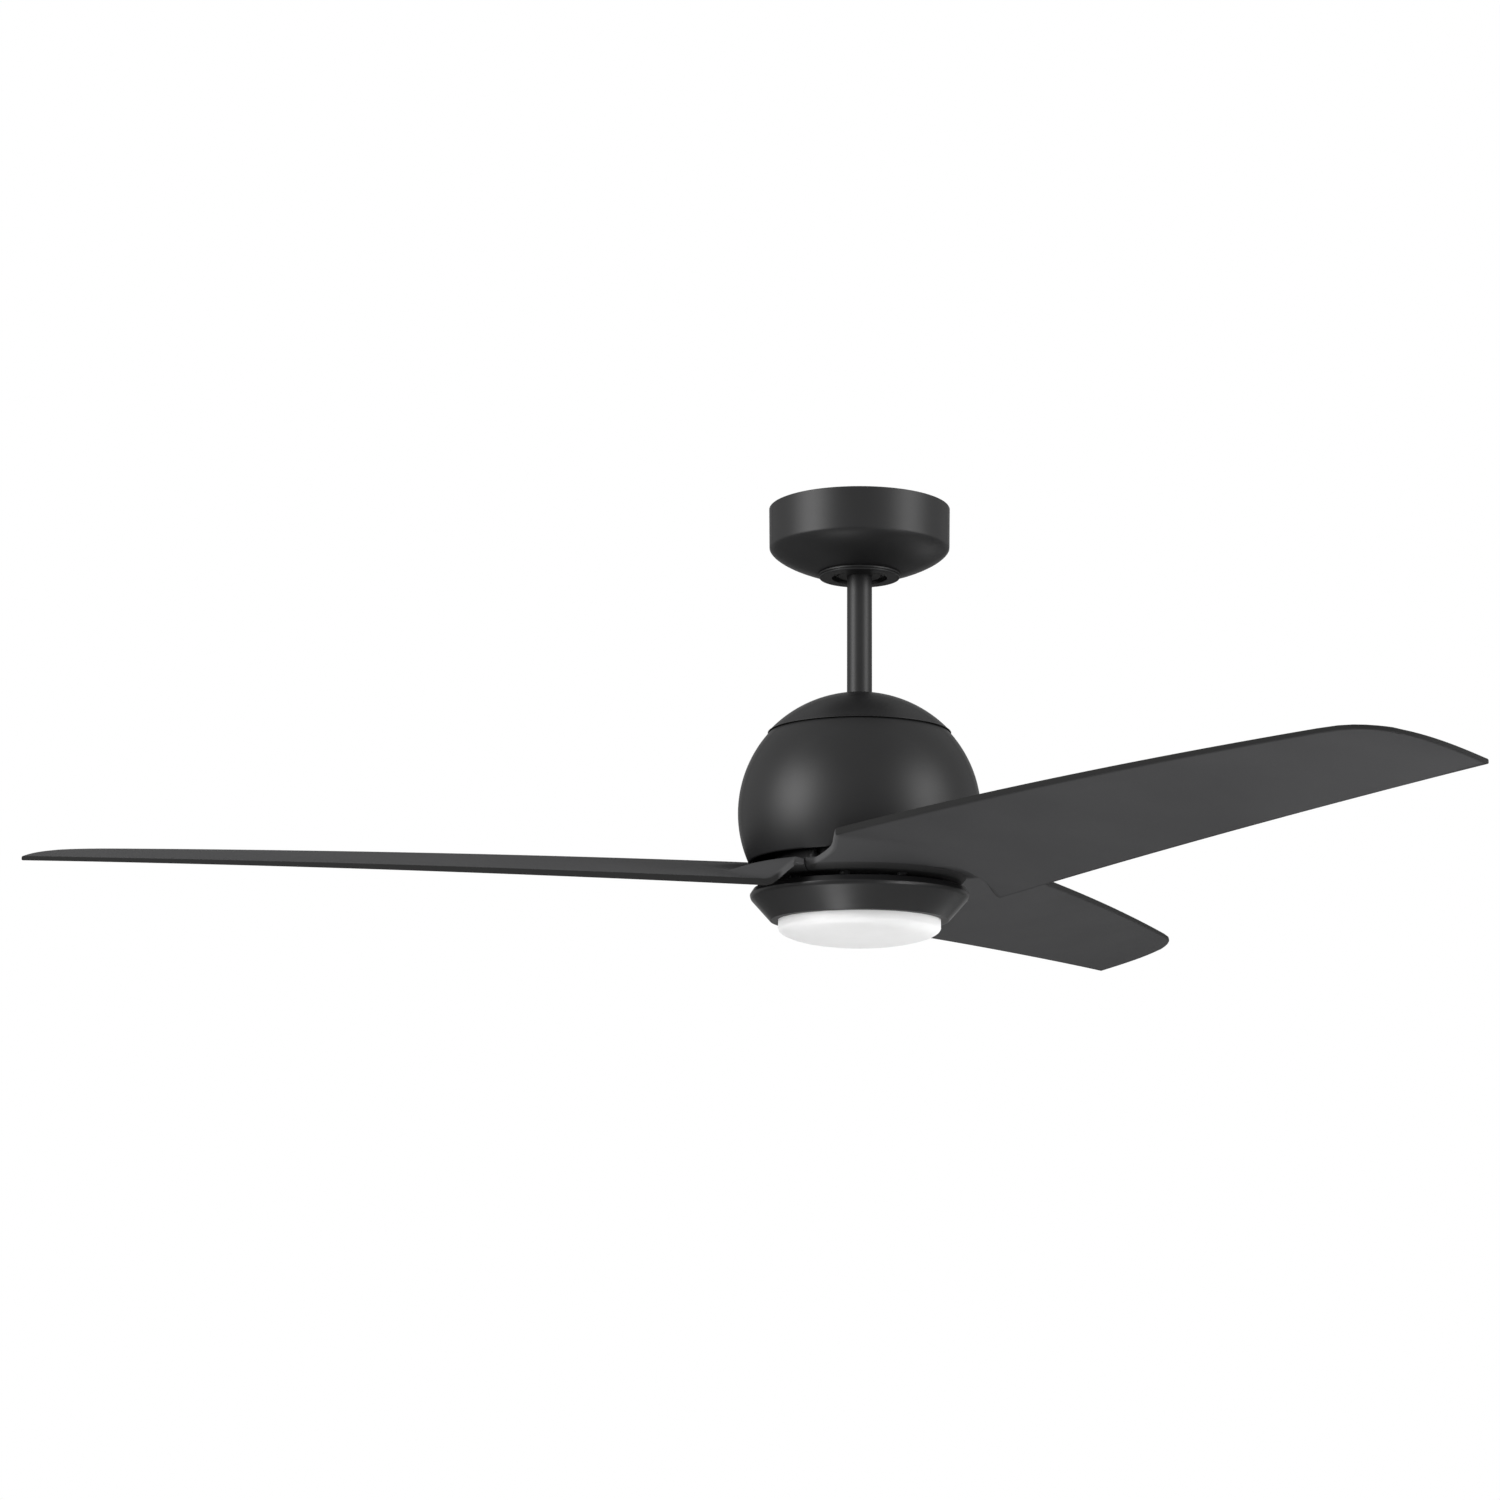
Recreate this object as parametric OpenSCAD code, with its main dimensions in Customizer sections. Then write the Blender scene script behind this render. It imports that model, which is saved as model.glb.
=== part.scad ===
// Three-blade ceiling fan with a round motor housing and a light under it.
// The ceiling is the plane z = 0, the fan's axis is the z axis, and everything hangs below.

/* [Canopy] */
// Outside diameter of the canopy at the ceiling
canopy_d = 154.8; // [140:0.2:190]
// Outside diameter of the canopy where its side ends
canopy_low_d = 154; // [138:0.2:188]
// Height of the canopy's side
canopy_side_h = 34.5; // [30:0.5:60]
// Height of the canopy's domed bottom, from side to floor
canopy_dome_h = 22.7; // [15:0.1:35]
// Sheet thickness of the canopy
canopy_wall = 1.2; // [0.8:0.1:2]
// Outside diameter of the trim ring
trim_d = 70.2; // [66:0.2:84]
// Height of the trim ring
trim_h = 3.5; // [3:0.1:8]
// Diameter of the hole that the rod swings in
trim_hole_d = 47.2; // [40:0.2:52]

/* [Hanger bracket] */
// Distance between the two slots for the outlet box screws
box_screw_spacing = 88.9; // [84:0.1:95]
// Width of each outlet box screw slot
box_slot_w = 4.6; // [4:0.1:6]
// Length of each outlet box screw slot, end to end
box_slot_l = 14; // [8:0.5:18]
// Sheet thickness of the bracket
bracket_t = 2.5; // [2:0.1:4]
// Width of the bracket's flanges and legs
bracket_w = 40; // [30:1:48]
// Clear width between the bracket's legs
bracket_inside = 70; // [64:0.5:74]
// Length of each slotted flange
bracket_flange_l = 22; // [18:0.5:24]
// Diameter of the cradle plate that holds the ball
cradle_d = 67; // [66:0.5:68]
// Height of the cradle's cup above its plate
cradle_cup_h = 4; // [3:0.1:6]
// Distance between the two canopy screws
canopy_screw_spacing = 60; // [58:0.2:62]
// Thread diameter of the canopy screws
canopy_screw_d = 3.5; // [3:0.1:4]

/* [Ball and rod] */
// Diameter of the hanger ball
ball_d = 50.8; // [48:0.2:54]
// Height of the ball's centre above the canopy floor's outer face
ball_above_floor = 16.2; // [15:0.1:18]
// Outside diameter of the downrod
rod_d = 21.3; // [18:0.1:26]
// Wall of the downrod
rod_wall = 2.8; // [2:0.1:4]
// Length of the downrod
rod_l = 152.4; // [140:0.2:1200]
// How far the rod stands above the ball's centre
rod_above_ball = 17; // [15:0.1:18]
// Diameter of the pin across the ball
ball_pin_d = 6; // [4:0.1:7]
// Outside diameter of each of the two wires
wire_d = 4; // [3:0.1:4]

/* [Coupling] */
// Outside diameter of the coupling's socket
coupling_d = 32; // [29:0.2:40]
// Depth of the rod in the socket
coupling_grip = 12; // [10:0.5:20]
// Diameter of the clevis pin
coupling_pin_d = 5; // [4:0.1:6]
// Diameter of the coupling's flange
coupling_flange_d = 72; // [66:0.5:90]
// Thickness of the coupling's flange
coupling_flange_t = 5; // [4:0.1:8]

/* [Round housing] */
// Outside diameter of the round motor housing
housing_d = 204.8; // [200:0.2:240]
// Sheet thickness of the housing
housing_wall = 1.5; // [1:0.1:2.5]
// Diameter of the housing where its cap sits
housing_top_d = 152.8; // [120:0.2:170]
// How far the housing reaches below its widest line, as a share of its radius
housing_reach = 0.423; // [0.4:0.001:0.6]
// How far the cap's rim stands out past the housing
cap_step = 1.4; // [0.4:0.1:4]
// Height of the cap
cap_h = 34.7; // [33:0.1:45]
// Sheet thickness of the cap
cap_wall = 1.2; // [0.8:0.1:2]

/* [Motor] */
// Diameter of the shaft in its bearings
shaft_d = 17; // [15:0.1:18]
// Bore of the hollow shaft
shaft_bore_d = 9; // [8:0.1:10]
// Outside diameter of the two ball bearings
bearing_d = 40; // [36:0.1:44]
// Width of the two ball bearings
bearing_w = 12; // [10:0.1:14]
// Clearance between the motor's bolt lugs and the housing's open bottom
motor_side_gap = 11.7; // [6:0.1:20]
// Height of the stator core
stator_h = 24; // [18:0.5:30]
// Number of stator teeth and coils
stator_teeth = 12; // [9:3:12]
// Air gap between stator and magnets
air_gap = 0.8; // [0.5:0.1:1.2]
// Thickness of the magnets
magnet_t = 5; // [3:0.1:6]
// Number of magnets
magnet_count = 14; // [10:2:16]
// Wall of the steel ring around the magnets
rotor_ring_t = 5; // [4:0.1:7]
// Outside height of the motor over its two shields
motor_h = 71; // [68:0.5:76]

/* [Blades] */
// Radius of the circle that the blade tips turn in
tip_r = 685.8; // [560:0.1:760]
// Direction that the first blade points in, in degrees
first_blade_angle = 182.5; // [0:0.5:360]
// Pitch of the blades, in degrees
pitch = 13.1; // [8:0.1:16]
// Leading edge's distance from the blade's centre line at the root
lead_root = 74.7; // [68:0.1:80]
// Leading edge's distance from the blade's centre line near the tip
lead_tip = 19.3; // [10:0.1:40]
// Bulge of the leading edge
lead_bulge = 3.8; // [0:0.1:10]
// Trailing edge's distance from the blade's centre line at the root
trail_root = 88.2; // [80:0.1:92]
// Trailing edge's distance from the blade's centre line near the tip
trail_tip = 76.2; // [60:0.1:90]
// Length of the rounded part of the tip
tip_round = 65; // [40:1:120]
// Fullness of the rounded tip: 2 is an ellipse, more is squarer
tip_fullness = 2.92; // [2:0.01:4]
// Thickness of the blade at the root
blade_t_root = 5.5; // [4:0.1:7]
// Thickness of the blade at the tip
blade_t_tip = 3.6; // [3:0.1:5]
// How far the tip's centre line lies above the root's
blade_rise = 12.9; // [0:0.1:25]
// How far the blade's centre line bows up between root and tip
blade_bow = 1.85; // [0:0.05:4]
// How far the collar that the blade roots make lies inside the housing's bottom edge
collar_inset = 2.8; // [1:0.1:5]
// Height of the collar's outer wall
collar_wall_h = 6.8; // [6:0.1:8]
// Height of the collar's bevel under the wall
collar_bevel_h = 4.5; // [4:0.1:6]
// Steepness of the flare under the leading edge
flare_steepness = 1.05; // [0.8:0.01:1.2]
// Gap between one blade root and the next
seam_gap = 0.6; // [0.3:0.1:1.5]
// Gap between the housing's bottom and the collar
collar_gap = 5.2; // [4:0.1:8]

/* [Light] */
// Gap between the collar and the light ring
light_gap = 5.1; // [4:0.1:8]
// Largest diameter of the light ring
light_d = 184; // [176:0.2:200]
// Diameter of the light ring's bottom edge
light_low_d = 150; // [146:0.2:156]
// Height of the light ring
light_h = 26.4; // [25.5:0.1:34]
// Sheet thickness of the light ring
light_wall = 1.5; // [1:0.1:2.5]
// Outside diameter of the lens
lens_d = 136.4; // [130:0.2:140]
// Straight side of the lens below the light ring
lens_side_h = 6; // [3:0.1:12]
// Depth of the lens's dome
lens_dome_h = 14.8; // [8:0.1:25]
// Wall of the lens
lens_wall = 2.4; // [2:0.1:3]
// Number of light-emitting chips
chip_count = 36; // [12:6:48]

/* [Fits] */
// Running clearance between the shaft and the bearings, on the radius
running_fit = 0.05; // [0.02:0.01:0.1]
// Clearance of a piece that slips over another, on the radius
slip_fit = 0.1; // [0.05:0.01:0.2]

/* [Hidden] */
$fn = 96;
tiny = 0.01;

// ---- heights, from the ceiling down ----
z_floor = -(canopy_side_h + canopy_dome_h);
z_trim_bottom = z_floor - trim_h;
z_ball = z_floor + ball_above_floor;
z_rod_top = z_ball + rod_above_ball;
z_rod_bottom = z_rod_top - rod_l;
z_socket_top = z_rod_bottom + coupling_grip;
cap_over_socket = 3.1;
z_seam = z_socket_top + cap_over_socket - cap_h;
z_housing = z_seam - sqrt(pow(housing_d / 2, 2) - pow(housing_top_d / 2, 2));
z_housing_bottom = z_housing - housing_reach * housing_d / 2;
housing_edge_r = sqrt(pow(housing_d / 2, 2) - pow(z_housing - z_housing_bottom, 2));
housing_mouth_r = sqrt(pow(housing_d / 2 - housing_wall, 2) - pow(z_housing - z_housing_bottom, 2));
z_collar_top = z_housing_bottom - collar_gap;
z_collar_low = z_collar_top - collar_wall_h;
z_collar_bottom = z_collar_low - collar_bevel_h;
z_light_top = z_collar_bottom - light_gap;
z_light_bottom = z_light_top - light_h;

// ---- canopy, bracket and ball ----
z_cradle = z_floor + canopy_wall;
ledge_l = 3;
ledge_t = 1.5;
receiver_gap = 1;
z_receiver_low = z_rod_top + 4.5;
screw_head_h = 2.1;
ball_top_cut = 9.5;
ball_low_cut = 18;
ground_screw_y = 12;
ground_screw_r = 2;
z_ground_screw = z_ball + 9;
wire_in_rod = ball_pin_d / 2 + wire_d / 2 + 0.3;

// ---- coupling and cap ----
socket_play = 1;
socket_web = 3;
z_coupling_flange = z_seam + coupling_flange_t;
z_lower_boss = z_seam - 12;
z_shaft_top = z_rod_bottom - socket_play - socket_web;
z_coupling_pin = z_socket_top - 6.5;
coupling_pin_l = coupling_d + 8;
clip_r = 0.6;
clip_out = 2.5;
set_screw_r = 2.5;
z_shaft_screw = z_shaft_top - 5.6;
flange_screw_r = 2.5;
flange_screw_circle = coupling_flange_d / 2 - 8;
cap_hole_gap = 0.55;
cap_edge_r = housing_top_d / 2 + cap_step;
cap_sphere = (pow(cap_edge_r, 2) + pow(cap_h, 2)) / (2 * cap_h);
z_cap_sphere = z_seam + cap_h - cap_sphere;

// ---- motor ----
hub_drop = 0.3;
z_hub_top = z_collar_top - hub_drop;
z_motor_bottom = z_hub_top;
z_motor_top = z_motor_bottom + motor_h;
z_upper_bearing = z_motor_top - bearing_w;
z_lower_bearing = z_motor_bottom + 2;
bearing_play = 0.1;
press_gap = 0.02;
shaft_shoulder_d = shaft_d + 5;
shield_t = 4;
z_stator = z_motor_bottom + motor_h / 2 + 1.5;
tooth_tip_t = 5;
tooth_slot = 3;
coil_gap = 0.6;
coil_over = 6;
rotor_ring_h = stator_h + 4;
bolt_r = 2;
bolt_lug_r = 5;
bolt_circle_r = housing_mouth_r - motor_side_gap - bolt_lug_r;
motor_r = bolt_circle_r - bolt_r - 1.6;
rotor_ring_r = motor_r - rotor_ring_t;
magnet_r = rotor_ring_r - magnet_t;
stator_r = magnet_r - air_gap;
stator_hub_r = stator_r / 2 + 1;
tooth_w = 0.6 * 2 * stator_hub_r * tan(180 / stator_teeth);
bearing_boss_r = bearing_d / 2 + 5;
vent_r = 6;
vent_circle = (bearing_boss_r + rotor_ring_r) / 2;

// ---- blades ----
blade_count = 3;
blade_turn = 360 / blade_count;
hub_t = 5.5;
hub_gap = 0.6;
hub_hole_r = 24;
gasket_t = 0.8;
z_hub_bottom = z_hub_top - hub_t;
z_gasket_bottom = z_hub_bottom - gasket_t;
blade_screw_r = 2.2;
collar_r = housing_edge_r - collar_inset;
collar_wall_t = 4;
flange_w = 29;
flange_in_r = collar_r - collar_wall_t - flange_w;
blade_screw_circle = flange_in_r + 13;
collar_mid = -2.5;
blade_z = z_collar_top - 1.6;
root_x = 110;
end_x = 640;
root_lead_angle = 47.5;
root_trail_angle = -57.5;
lead_join_r = collar_r + 24;
lead_fillet_angle = 9.8;
lead_fillet_w = 11;
flare_from = -10;
root_reach = 28;
bend_from = 11;
bend_w = 18;
arc_end_x = collar_r + 46;
chord_start_x = collar_r + 100;
tip_corner_r = 1.7;

// ---- light ----
z_plate_top = z_light_top - light_wall - tiny;
light_plate_t = 2.4;
light_edge_w = 2.4;
light_edge_h = 5.1;
light_shoulder_w = 1;
light_shoulder_h = 3.4;
light_lip_w = 10;
light_plate_r = light_d / 2 - light_wall - 2;
z_plate_bottom = z_plate_top - light_plate_t;
light_screw_r = 1.75;
light_screw_circle = light_plate_r - 4.5;
nut_h = 5;
z_shaft_end = z_plate_bottom - nut_h - 1;
z_led_plate = z_shaft_end - wire_d - 0.7;
led_plate_t = 1.5;
led_plate_r = lens_d / 2 - 1.2;
led_board_t = 1.2;
led_board_r = led_plate_r - 9;
led_screw_r = 1.2;
standoff_circle = led_plate_r - 4;
standoff_r = 3;
standoff_stud_r = 1.5;
chip_w = 4;
driver_x = 17;
driver_l = 44;
driver_w = 26;
driver_h = z_plate_bottom - z_led_plate - 0.3;
wire_in_shaft = wire_d / 2 + 0.2;
z_wire_low = z_led_plate + wire_d / 2 + 0.2;
lens_hole_r = lens_d / 2 + 0.5;
lens_top = 8;
lens_turn = 18;
lens_lug_angle = 20;
lug_r = 1.6;
lug_in = 2.2;
z_lens_lug = z_light_bottom + 4.5;

function mix(a, b, t) = a + (b - a) * t;
function clamp01(t) = min(1, max(0, t));
function smooth(t) = let (s = clamp01(t)) s * s * (3 - 2 * s);
function sphere_r(ball_r, dz) = sqrt(max(0, ball_r * ball_r - dz * dz));

// A ring or disc from z = low to z = high.
module ring(r_out, r_in, low, high) {
    translate([0, 0, low])
        difference() {
            cylinder(r = r_out, h = high - low);
            if (r_in > 0)
                translate([0, 0, -1]) cylinder(r = r_in, h = high - low + 2);
        }
}

// Copies of the children on a circle around the axis.
module around(count, first = 0) {
    for (i = [0 : count - 1])
        rotate([0, 0, first + i * 360 / count]) children();
}

// A cylinder from z = low to z = high, for posts and for round holes.
module post(r, low, high) {
    translate([0, 0, low]) cylinder(r = r, h = high - low);
}

// ---------------------------------------------------------------- canopy and bracket

// Height of the canopy's dome below its side, at radius r, for a dome of radius big and depth deep.
function dome_drop(r, big, deep) = deep * pow(max(0, 1 - pow(r / big, 1.35)), 1 / 1.6);
canopy_low_r = canopy_low_d / 2;
canopy_deep = canopy_dome_h / pow(1 - pow(trim_d / canopy_d, 1.35), 1 / 1.6);

// The canopy's solid outline, shrunk by cut on every side but the ceiling, where it then runs past it.
module canopy_form(cut) {
    top = cut > 0 ? 1 : 0;
    big = canopy_low_r - cut;
    steps = 20;
    flat_r = trim_d / 2;
    rotate_extrude()
        polygon(concat(
            [[0, top], [canopy_d / 2 - cut, top]],
            [for (i = [0 : steps])
                let (r = big - (big - flat_r) * pow(i / steps, 1.6))
                [r, max(z_floor + cut, -canopy_side_h - dome_drop(r, big, canopy_deep - cut))]],
            [[0, z_floor + cut]]
        ));
}

module canopy() {
    color("#2b2b2b")
        difference() {
            canopy_form(0);
            canopy_form(canopy_wall);
            post(trim_hole_d / 2, z_floor - 1, 0);
            for (side = [-1, 1])
                translate([side * canopy_screw_spacing / 2, 0, 0])
                    post(canopy_screw_d / 2 + slip_fit, z_floor - 1, 0);
        }
}

module canopy_trim_ring() {
    trim_r = trim_d / 2;
    hole_r = trim_hole_d / 2;
    color("#2b2b2b")
        difference() {
            ring(trim_r, hole_r, z_trim_bottom, z_floor);
            ring(trim_r - canopy_wall, hole_r + canopy_wall, z_trim_bottom + 1.1, z_floor + 1);
        }
}

module canopy_screws() {
    color("silver")
        for (side = [-1, 1])
            translate([side * canopy_screw_spacing / 2, 0, 0]) {
                difference() {
                    post(canopy_screw_d / 2 + 1.5, z_floor - screw_head_h, z_floor);
                    translate([-2, -0.4, z_floor - screw_head_h - 1]) cube([4, 0.8, 2]);
                    translate([-0.4, -2, z_floor - screw_head_h - 1]) cube([0.8, 4, 2]);
                }
                post(canopy_screw_d / 2, z_floor - tiny, z_cradle + bracket_t + 1.5);
            }
}

// One side of the bracket: slotted flange, leg and the strap under the ball, seen from the front.
module bracket_side() {
    leg_in = bracket_inside / 2;
    leg_out = leg_in + bracket_t;
    strap_top = z_cradle + bracket_t;
    knee_z = strap_top + 8;
    foot_in = cradle_d / 2 - bracket_t;
    translate([0, bracket_w / 2, 0])
        rotate([90, 0, 0])
            linear_extrude(height = bracket_w)
                polygon([
                    [leg_in, 0], [leg_out + bracket_flange_l, 0], [leg_out + bracket_flange_l, -bracket_t],
                    [leg_out, -bracket_t], [leg_out, knee_z], [foot_in + bracket_t, strap_top - 1],
                    [foot_in + bracket_t, z_cradle], [0, z_cradle], [0, strap_top],
                    [foot_in, strap_top], [leg_in, knee_z]
                ]);
    translate([leg_in - ledge_l, -6, z_receiver_low - ledge_t]) cube([ledge_l + 1, 12, ledge_t]);
}

module hanger_bracket() {
    ball_r = ball_d / 2 + running_fit;
    cup_top = z_cradle + bracket_t + cradle_cup_h;
    cup_r = sphere_r(ball_r, z_ball - cup_top) + 2;
    slot_x = box_screw_spacing / 2;
    slot_half = (box_slot_l - box_slot_w) / 2;
    color("#8a8d90")
        difference() {
            intersection() {
                canopy_form(canopy_wall);
                union() {
                    bracket_side();
                    mirror([1, 0, 0]) bracket_side();
                    ring(cradle_d / 2, 0, z_cradle, z_cradle + bracket_t);
                    ring(cup_r, 0, z_cradle, cup_top);
                }
            }
            translate([0, 0, z_ball]) sphere(r = ball_r);
            post(sphere_r(ball_r, z_ball - z_cradle), z_cradle - 1, z_cradle + 1);
            translate([-rod_d / 2 - 1, 0, z_cradle - 1])
                cube([rod_d + 2, cradle_d, bracket_t + cradle_cup_h + 2]);
            for (side = [-1, 1]) {
                translate([side * canopy_screw_spacing / 2, 0, 0])
                    post(canopy_screw_d / 2 + slip_fit, z_cradle - 1, cup_top);
                for (end = [-1, 1])
                    translate([side * slot_x + end * slot_half, 0, 0])
                        post(box_slot_w / 2, -bracket_t - 1, 1);
                translate([side * slot_x - slot_half, -box_slot_w / 2, -bracket_t - 1])
                    cube([2 * slot_half, box_slot_w, bracket_t + 2]);
            }
            translate([bracket_inside / 2 - 1, ground_screw_y, z_ground_screw])
                rotate([0, 90, 0]) cylinder(r = ground_screw_r + running_fit, h = bracket_t + 2);
        }
}

module ground_screw() {
    head_x = bracket_inside / 2;
    color("green")
        translate([0, ground_screw_y, z_ground_screw])
            rotate([0, 90, 0]) {
                translate([0, 0, head_x - 2]) cylinder(r = ground_screw_r + 1.4, h = 2);
                translate([0, 0, head_x - tiny]) cylinder(r = ground_screw_r, h = bracket_t + 2);
            }
}

module receiver() {
    half_l = bracket_inside / 2 - slip_fit;
    half_w = 15;
    round_r = 3;
    z_top = -bracket_t - receiver_gap;
    color("#303030")
        difference() {
            union() {
                translate([-half_l, -half_w + round_r, z_receiver_low])
                    cube([2 * half_l, 2 * (half_w - round_r), z_top - z_receiver_low]);
                translate([-half_l + round_r, -half_w, z_receiver_low])
                    cube([2 * (half_l - round_r), 2 * half_w, z_top - z_receiver_low]);
                for (x = [-1, 1], y = [-1, 1])
                    translate([x * (half_l - round_r), y * (half_w - round_r), 0])
                        post(round_r, z_receiver_low, z_top);
            }
            for (x = [-18, -6, 6, 18])
                translate([x - 4, -half_w - 1, z_receiver_low + 5]) cube([8, 7, 5]);
        }
}

// ---------------------------------------------------------------- ball, rod and coupling

module hanger_ball() {
    color("#3a3a3a")
        difference() {
            translate([0, 0, z_ball]) sphere(r = ball_d / 2);
            post(ball_d, z_ball + ball_top_cut, z_ball + ball_d);
            post(ball_d, z_ball - ball_d, z_ball - ball_low_cut);
            post(rod_d / 2 + slip_fit, z_ball - ball_d, z_ball + ball_d);
            translate([-ball_d, 0, z_ball + ball_top_cut])
                rotate([0, 90, 0]) cylinder(r = ball_pin_d / 2 + running_fit, h = 2 * ball_d);
        }
}

module ball_pin() {
    pin_l = 36;
    color("silver")
        translate([-pin_l / 2, 0, z_ball + ball_top_cut])
            rotate([0, 90, 0]) cylinder(r = ball_pin_d / 2, h = pin_l);
}

module downrod() {
    color("#2b2b2b")
        difference() {
            ring(rod_d / 2, rod_d / 2 - rod_wall, z_rod_bottom, z_rod_top);
            translate([-rod_d, 0, z_ball + ball_top_cut])
                rotate([0, 90, 0]) cylinder(r = ball_pin_d / 2 + running_fit, h = 2 * rod_d);
            translate([-rod_d, 0, z_coupling_pin])
                rotate([0, 90, 0]) cylinder(r = coupling_pin_d / 2 + running_fit, h = 2 * rod_d);
        }
}

module rod_grommet() {
    color("#1a1a1a")
        difference() {
            union() {
                post(rod_d / 2 - 0.6, z_rod_top, z_rod_top + 1.5);
                post(rod_d / 2 - rod_wall - slip_fit, z_rod_top - 3, z_rod_top + tiny);
            }
            for (side = [-1, 1])
                translate([0, side * wire_in_rod, 0])
                    post(wire_d / 2 + running_fit, z_rod_top - 4, z_rod_top + 2);
        }
}

// A round wire along a chain of points.
module strand(points, r) {
    for (i = [0 : len(points) - 2]) {
        run = points[i + 1] - points[i];
        translate(points[i]) {
            rotate([0, acos(run.z / norm(run)), atan2(run.y, run.x)]) cylinder(r = r, h = norm(run));
            if (i > 0) sphere(r = r + tiny);
        }
    }
}

// Two wires run down the rod past its pins, through the hollow shaft and across to the driver.
module lead_wires() {
    color("#d8d8d8")
        for (side = [-1, 1])
            strand([
                [0, side * wire_in_rod, z_rod_top + 2.4],
                [0, side * wire_in_rod, z_coupling_pin - 1],
                [0, side * wire_in_shaft, z_shaft_top + 0.4],
                [0, side * wire_in_shaft, z_wire_low],
                [driver_x, side * wire_in_shaft, z_wire_low]
            ], wire_d / 2);
}

module motor_coupling() {
    outer = coupling_d / 2;
    color("#6e7073")
        difference() {
            union() {
                post(outer, z_coupling_flange - 1, z_socket_top);
                post(coupling_flange_d / 2, z_seam, z_coupling_flange);
                post(outer - 1, z_lower_boss, z_seam + 1);
            }
            post(rod_d / 2 + slip_fit, z_rod_bottom - socket_play, z_socket_top + 1);
            post(shaft_bore_d / 2 + 2, z_shaft_top - 1, z_rod_bottom);
            post(shaft_d / 2 + slip_fit, z_lower_boss - 1, z_shaft_top);
            translate([-coupling_d, 0, z_coupling_pin])
                rotate([0, 90, 0]) cylinder(r = coupling_pin_d / 2 + running_fit, h = 2 * coupling_d);
            translate([0, -coupling_d, z_coupling_pin])
                rotate([-90, 0, 0]) cylinder(r = set_screw_r + running_fit, h = 2 * coupling_d);
            translate([0, -coupling_d, z_shaft_screw])
                rotate([-90, 0, 0]) cylinder(r = set_screw_r + running_fit, h = coupling_d);
            around(3, 90) translate([flange_screw_circle, 0, 0])
                post(flange_screw_r + slip_fit, z_seam - 1, z_coupling_flange + 1);
        }
}

module coupling_pin() {
    half = coupling_d / 2;
    color("silver")
        translate([0, 0, z_coupling_pin])
            rotate([0, 90, 0])
                difference() {
                    union() {
                        translate([0, 0, -half]) cylinder(r = coupling_pin_d / 2, h = coupling_pin_l - 2.5);
                        translate([0, 0, -half - 2.5]) cylinder(r = coupling_pin_d / 2 + 1.5, h = 2.5);
                    }
                    translate([-coupling_pin_d, 0, half + clip_out])
                        rotate([0, 90, 0]) cylinder(r = clip_r + slip_fit, h = 2 * coupling_pin_d);
                }
}

module coupling_clip() {
    bend = (coupling_pin_d / 2 + clip_r + slip_fit) / 2;
    leg = coupling_pin_d / 2 + 4;
    color("silver")
        translate([coupling_d / 2 + clip_out, 0, z_coupling_pin]) {
            for (y = [0, 2 * bend])
                translate([0, y, -leg]) cylinder(r = clip_r, h = 2 * leg - 1.5, $fn = 24);
            translate([0, bend, -leg])
                rotate([90, 180, 90])
                    rotate_extrude(angle = 180) translate([bend, 0]) circle(r = clip_r, $fn = 24);
        }
}

// A set screw along y, from its tip at y = -tip to its socket end at y = -end.
module set_screw(tip, end, z) {
    translate([0, -end, z])
        rotate([-90, 0, 0])
            difference() {
                cylinder(r = set_screw_r, h = end - tip);
                translate([0, 0, -1]) cylinder(r = set_screw_r / 2, h = 3.5, $fn = 6);
            }
}

module coupling_set_screws() {
    color("silver") {
        set_screw(rod_d / 2 + tiny, coupling_d / 2 + 0.5, z_coupling_pin);
        mirror([0, 1, 0]) set_screw(rod_d / 2 + tiny, coupling_d / 2 + 0.5, z_coupling_pin);
        set_screw(shaft_d / 2 + tiny, coupling_d / 2 + 0.5, z_shaft_screw);
    }
}

// ---------------------------------------------------------------- round housing

module ball_cap() {
    color("#2b2b2b")
        difference() {
            translate([0, 0, z_cap_sphere]) sphere(r = cap_sphere);
            translate([0, 0, z_cap_sphere]) sphere(r = cap_sphere - cap_wall);
            post(cap_sphere + 1, z_cap_sphere - cap_sphere - 1, z_seam);
            post(rod_d / 2 + cap_hole_gap, z_seam, z_seam + cap_h + 1);
        }
}

module motor_housing() {
    outer = housing_d / 2;
    color("#2b2b2b")
        difference() {
            intersection() {
                translate([0, 0, z_housing]) sphere(r = outer);
                post(outer + 1, z_housing_bottom, z_seam);
            }
            intersection() {
                translate([0, 0, z_housing]) sphere(r = outer - housing_wall);
                post(outer + 1, z_housing_bottom - 1, z_seam - housing_wall);
            }
            post(coupling_d / 2 - 1 + slip_fit, z_seam - housing_wall - 1, z_seam + 1);
            around(3, 90) translate([flange_screw_circle, 0, 0])
                post(flange_screw_r + slip_fit, z_seam - housing_wall - 1, z_seam + 1);
        }
}

module housing_screws() {
    head_h = 3;
    z_deck = z_seam - housing_wall;
    color("silver")
        around(3, 90) translate([flange_screw_circle, 0, 0]) {
            difference() {
                post(flange_screw_r + 2, z_deck - head_h, z_deck);
                translate([0, 0, z_deck - head_h - 1]) cylinder(r = flange_screw_r / 1.5, h = 3, $fn = 6);
            }
            post(flange_screw_r, z_deck - tiny, z_coupling_flange - 0.5);
        }
}

// ---------------------------------------------------------------- motor

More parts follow.
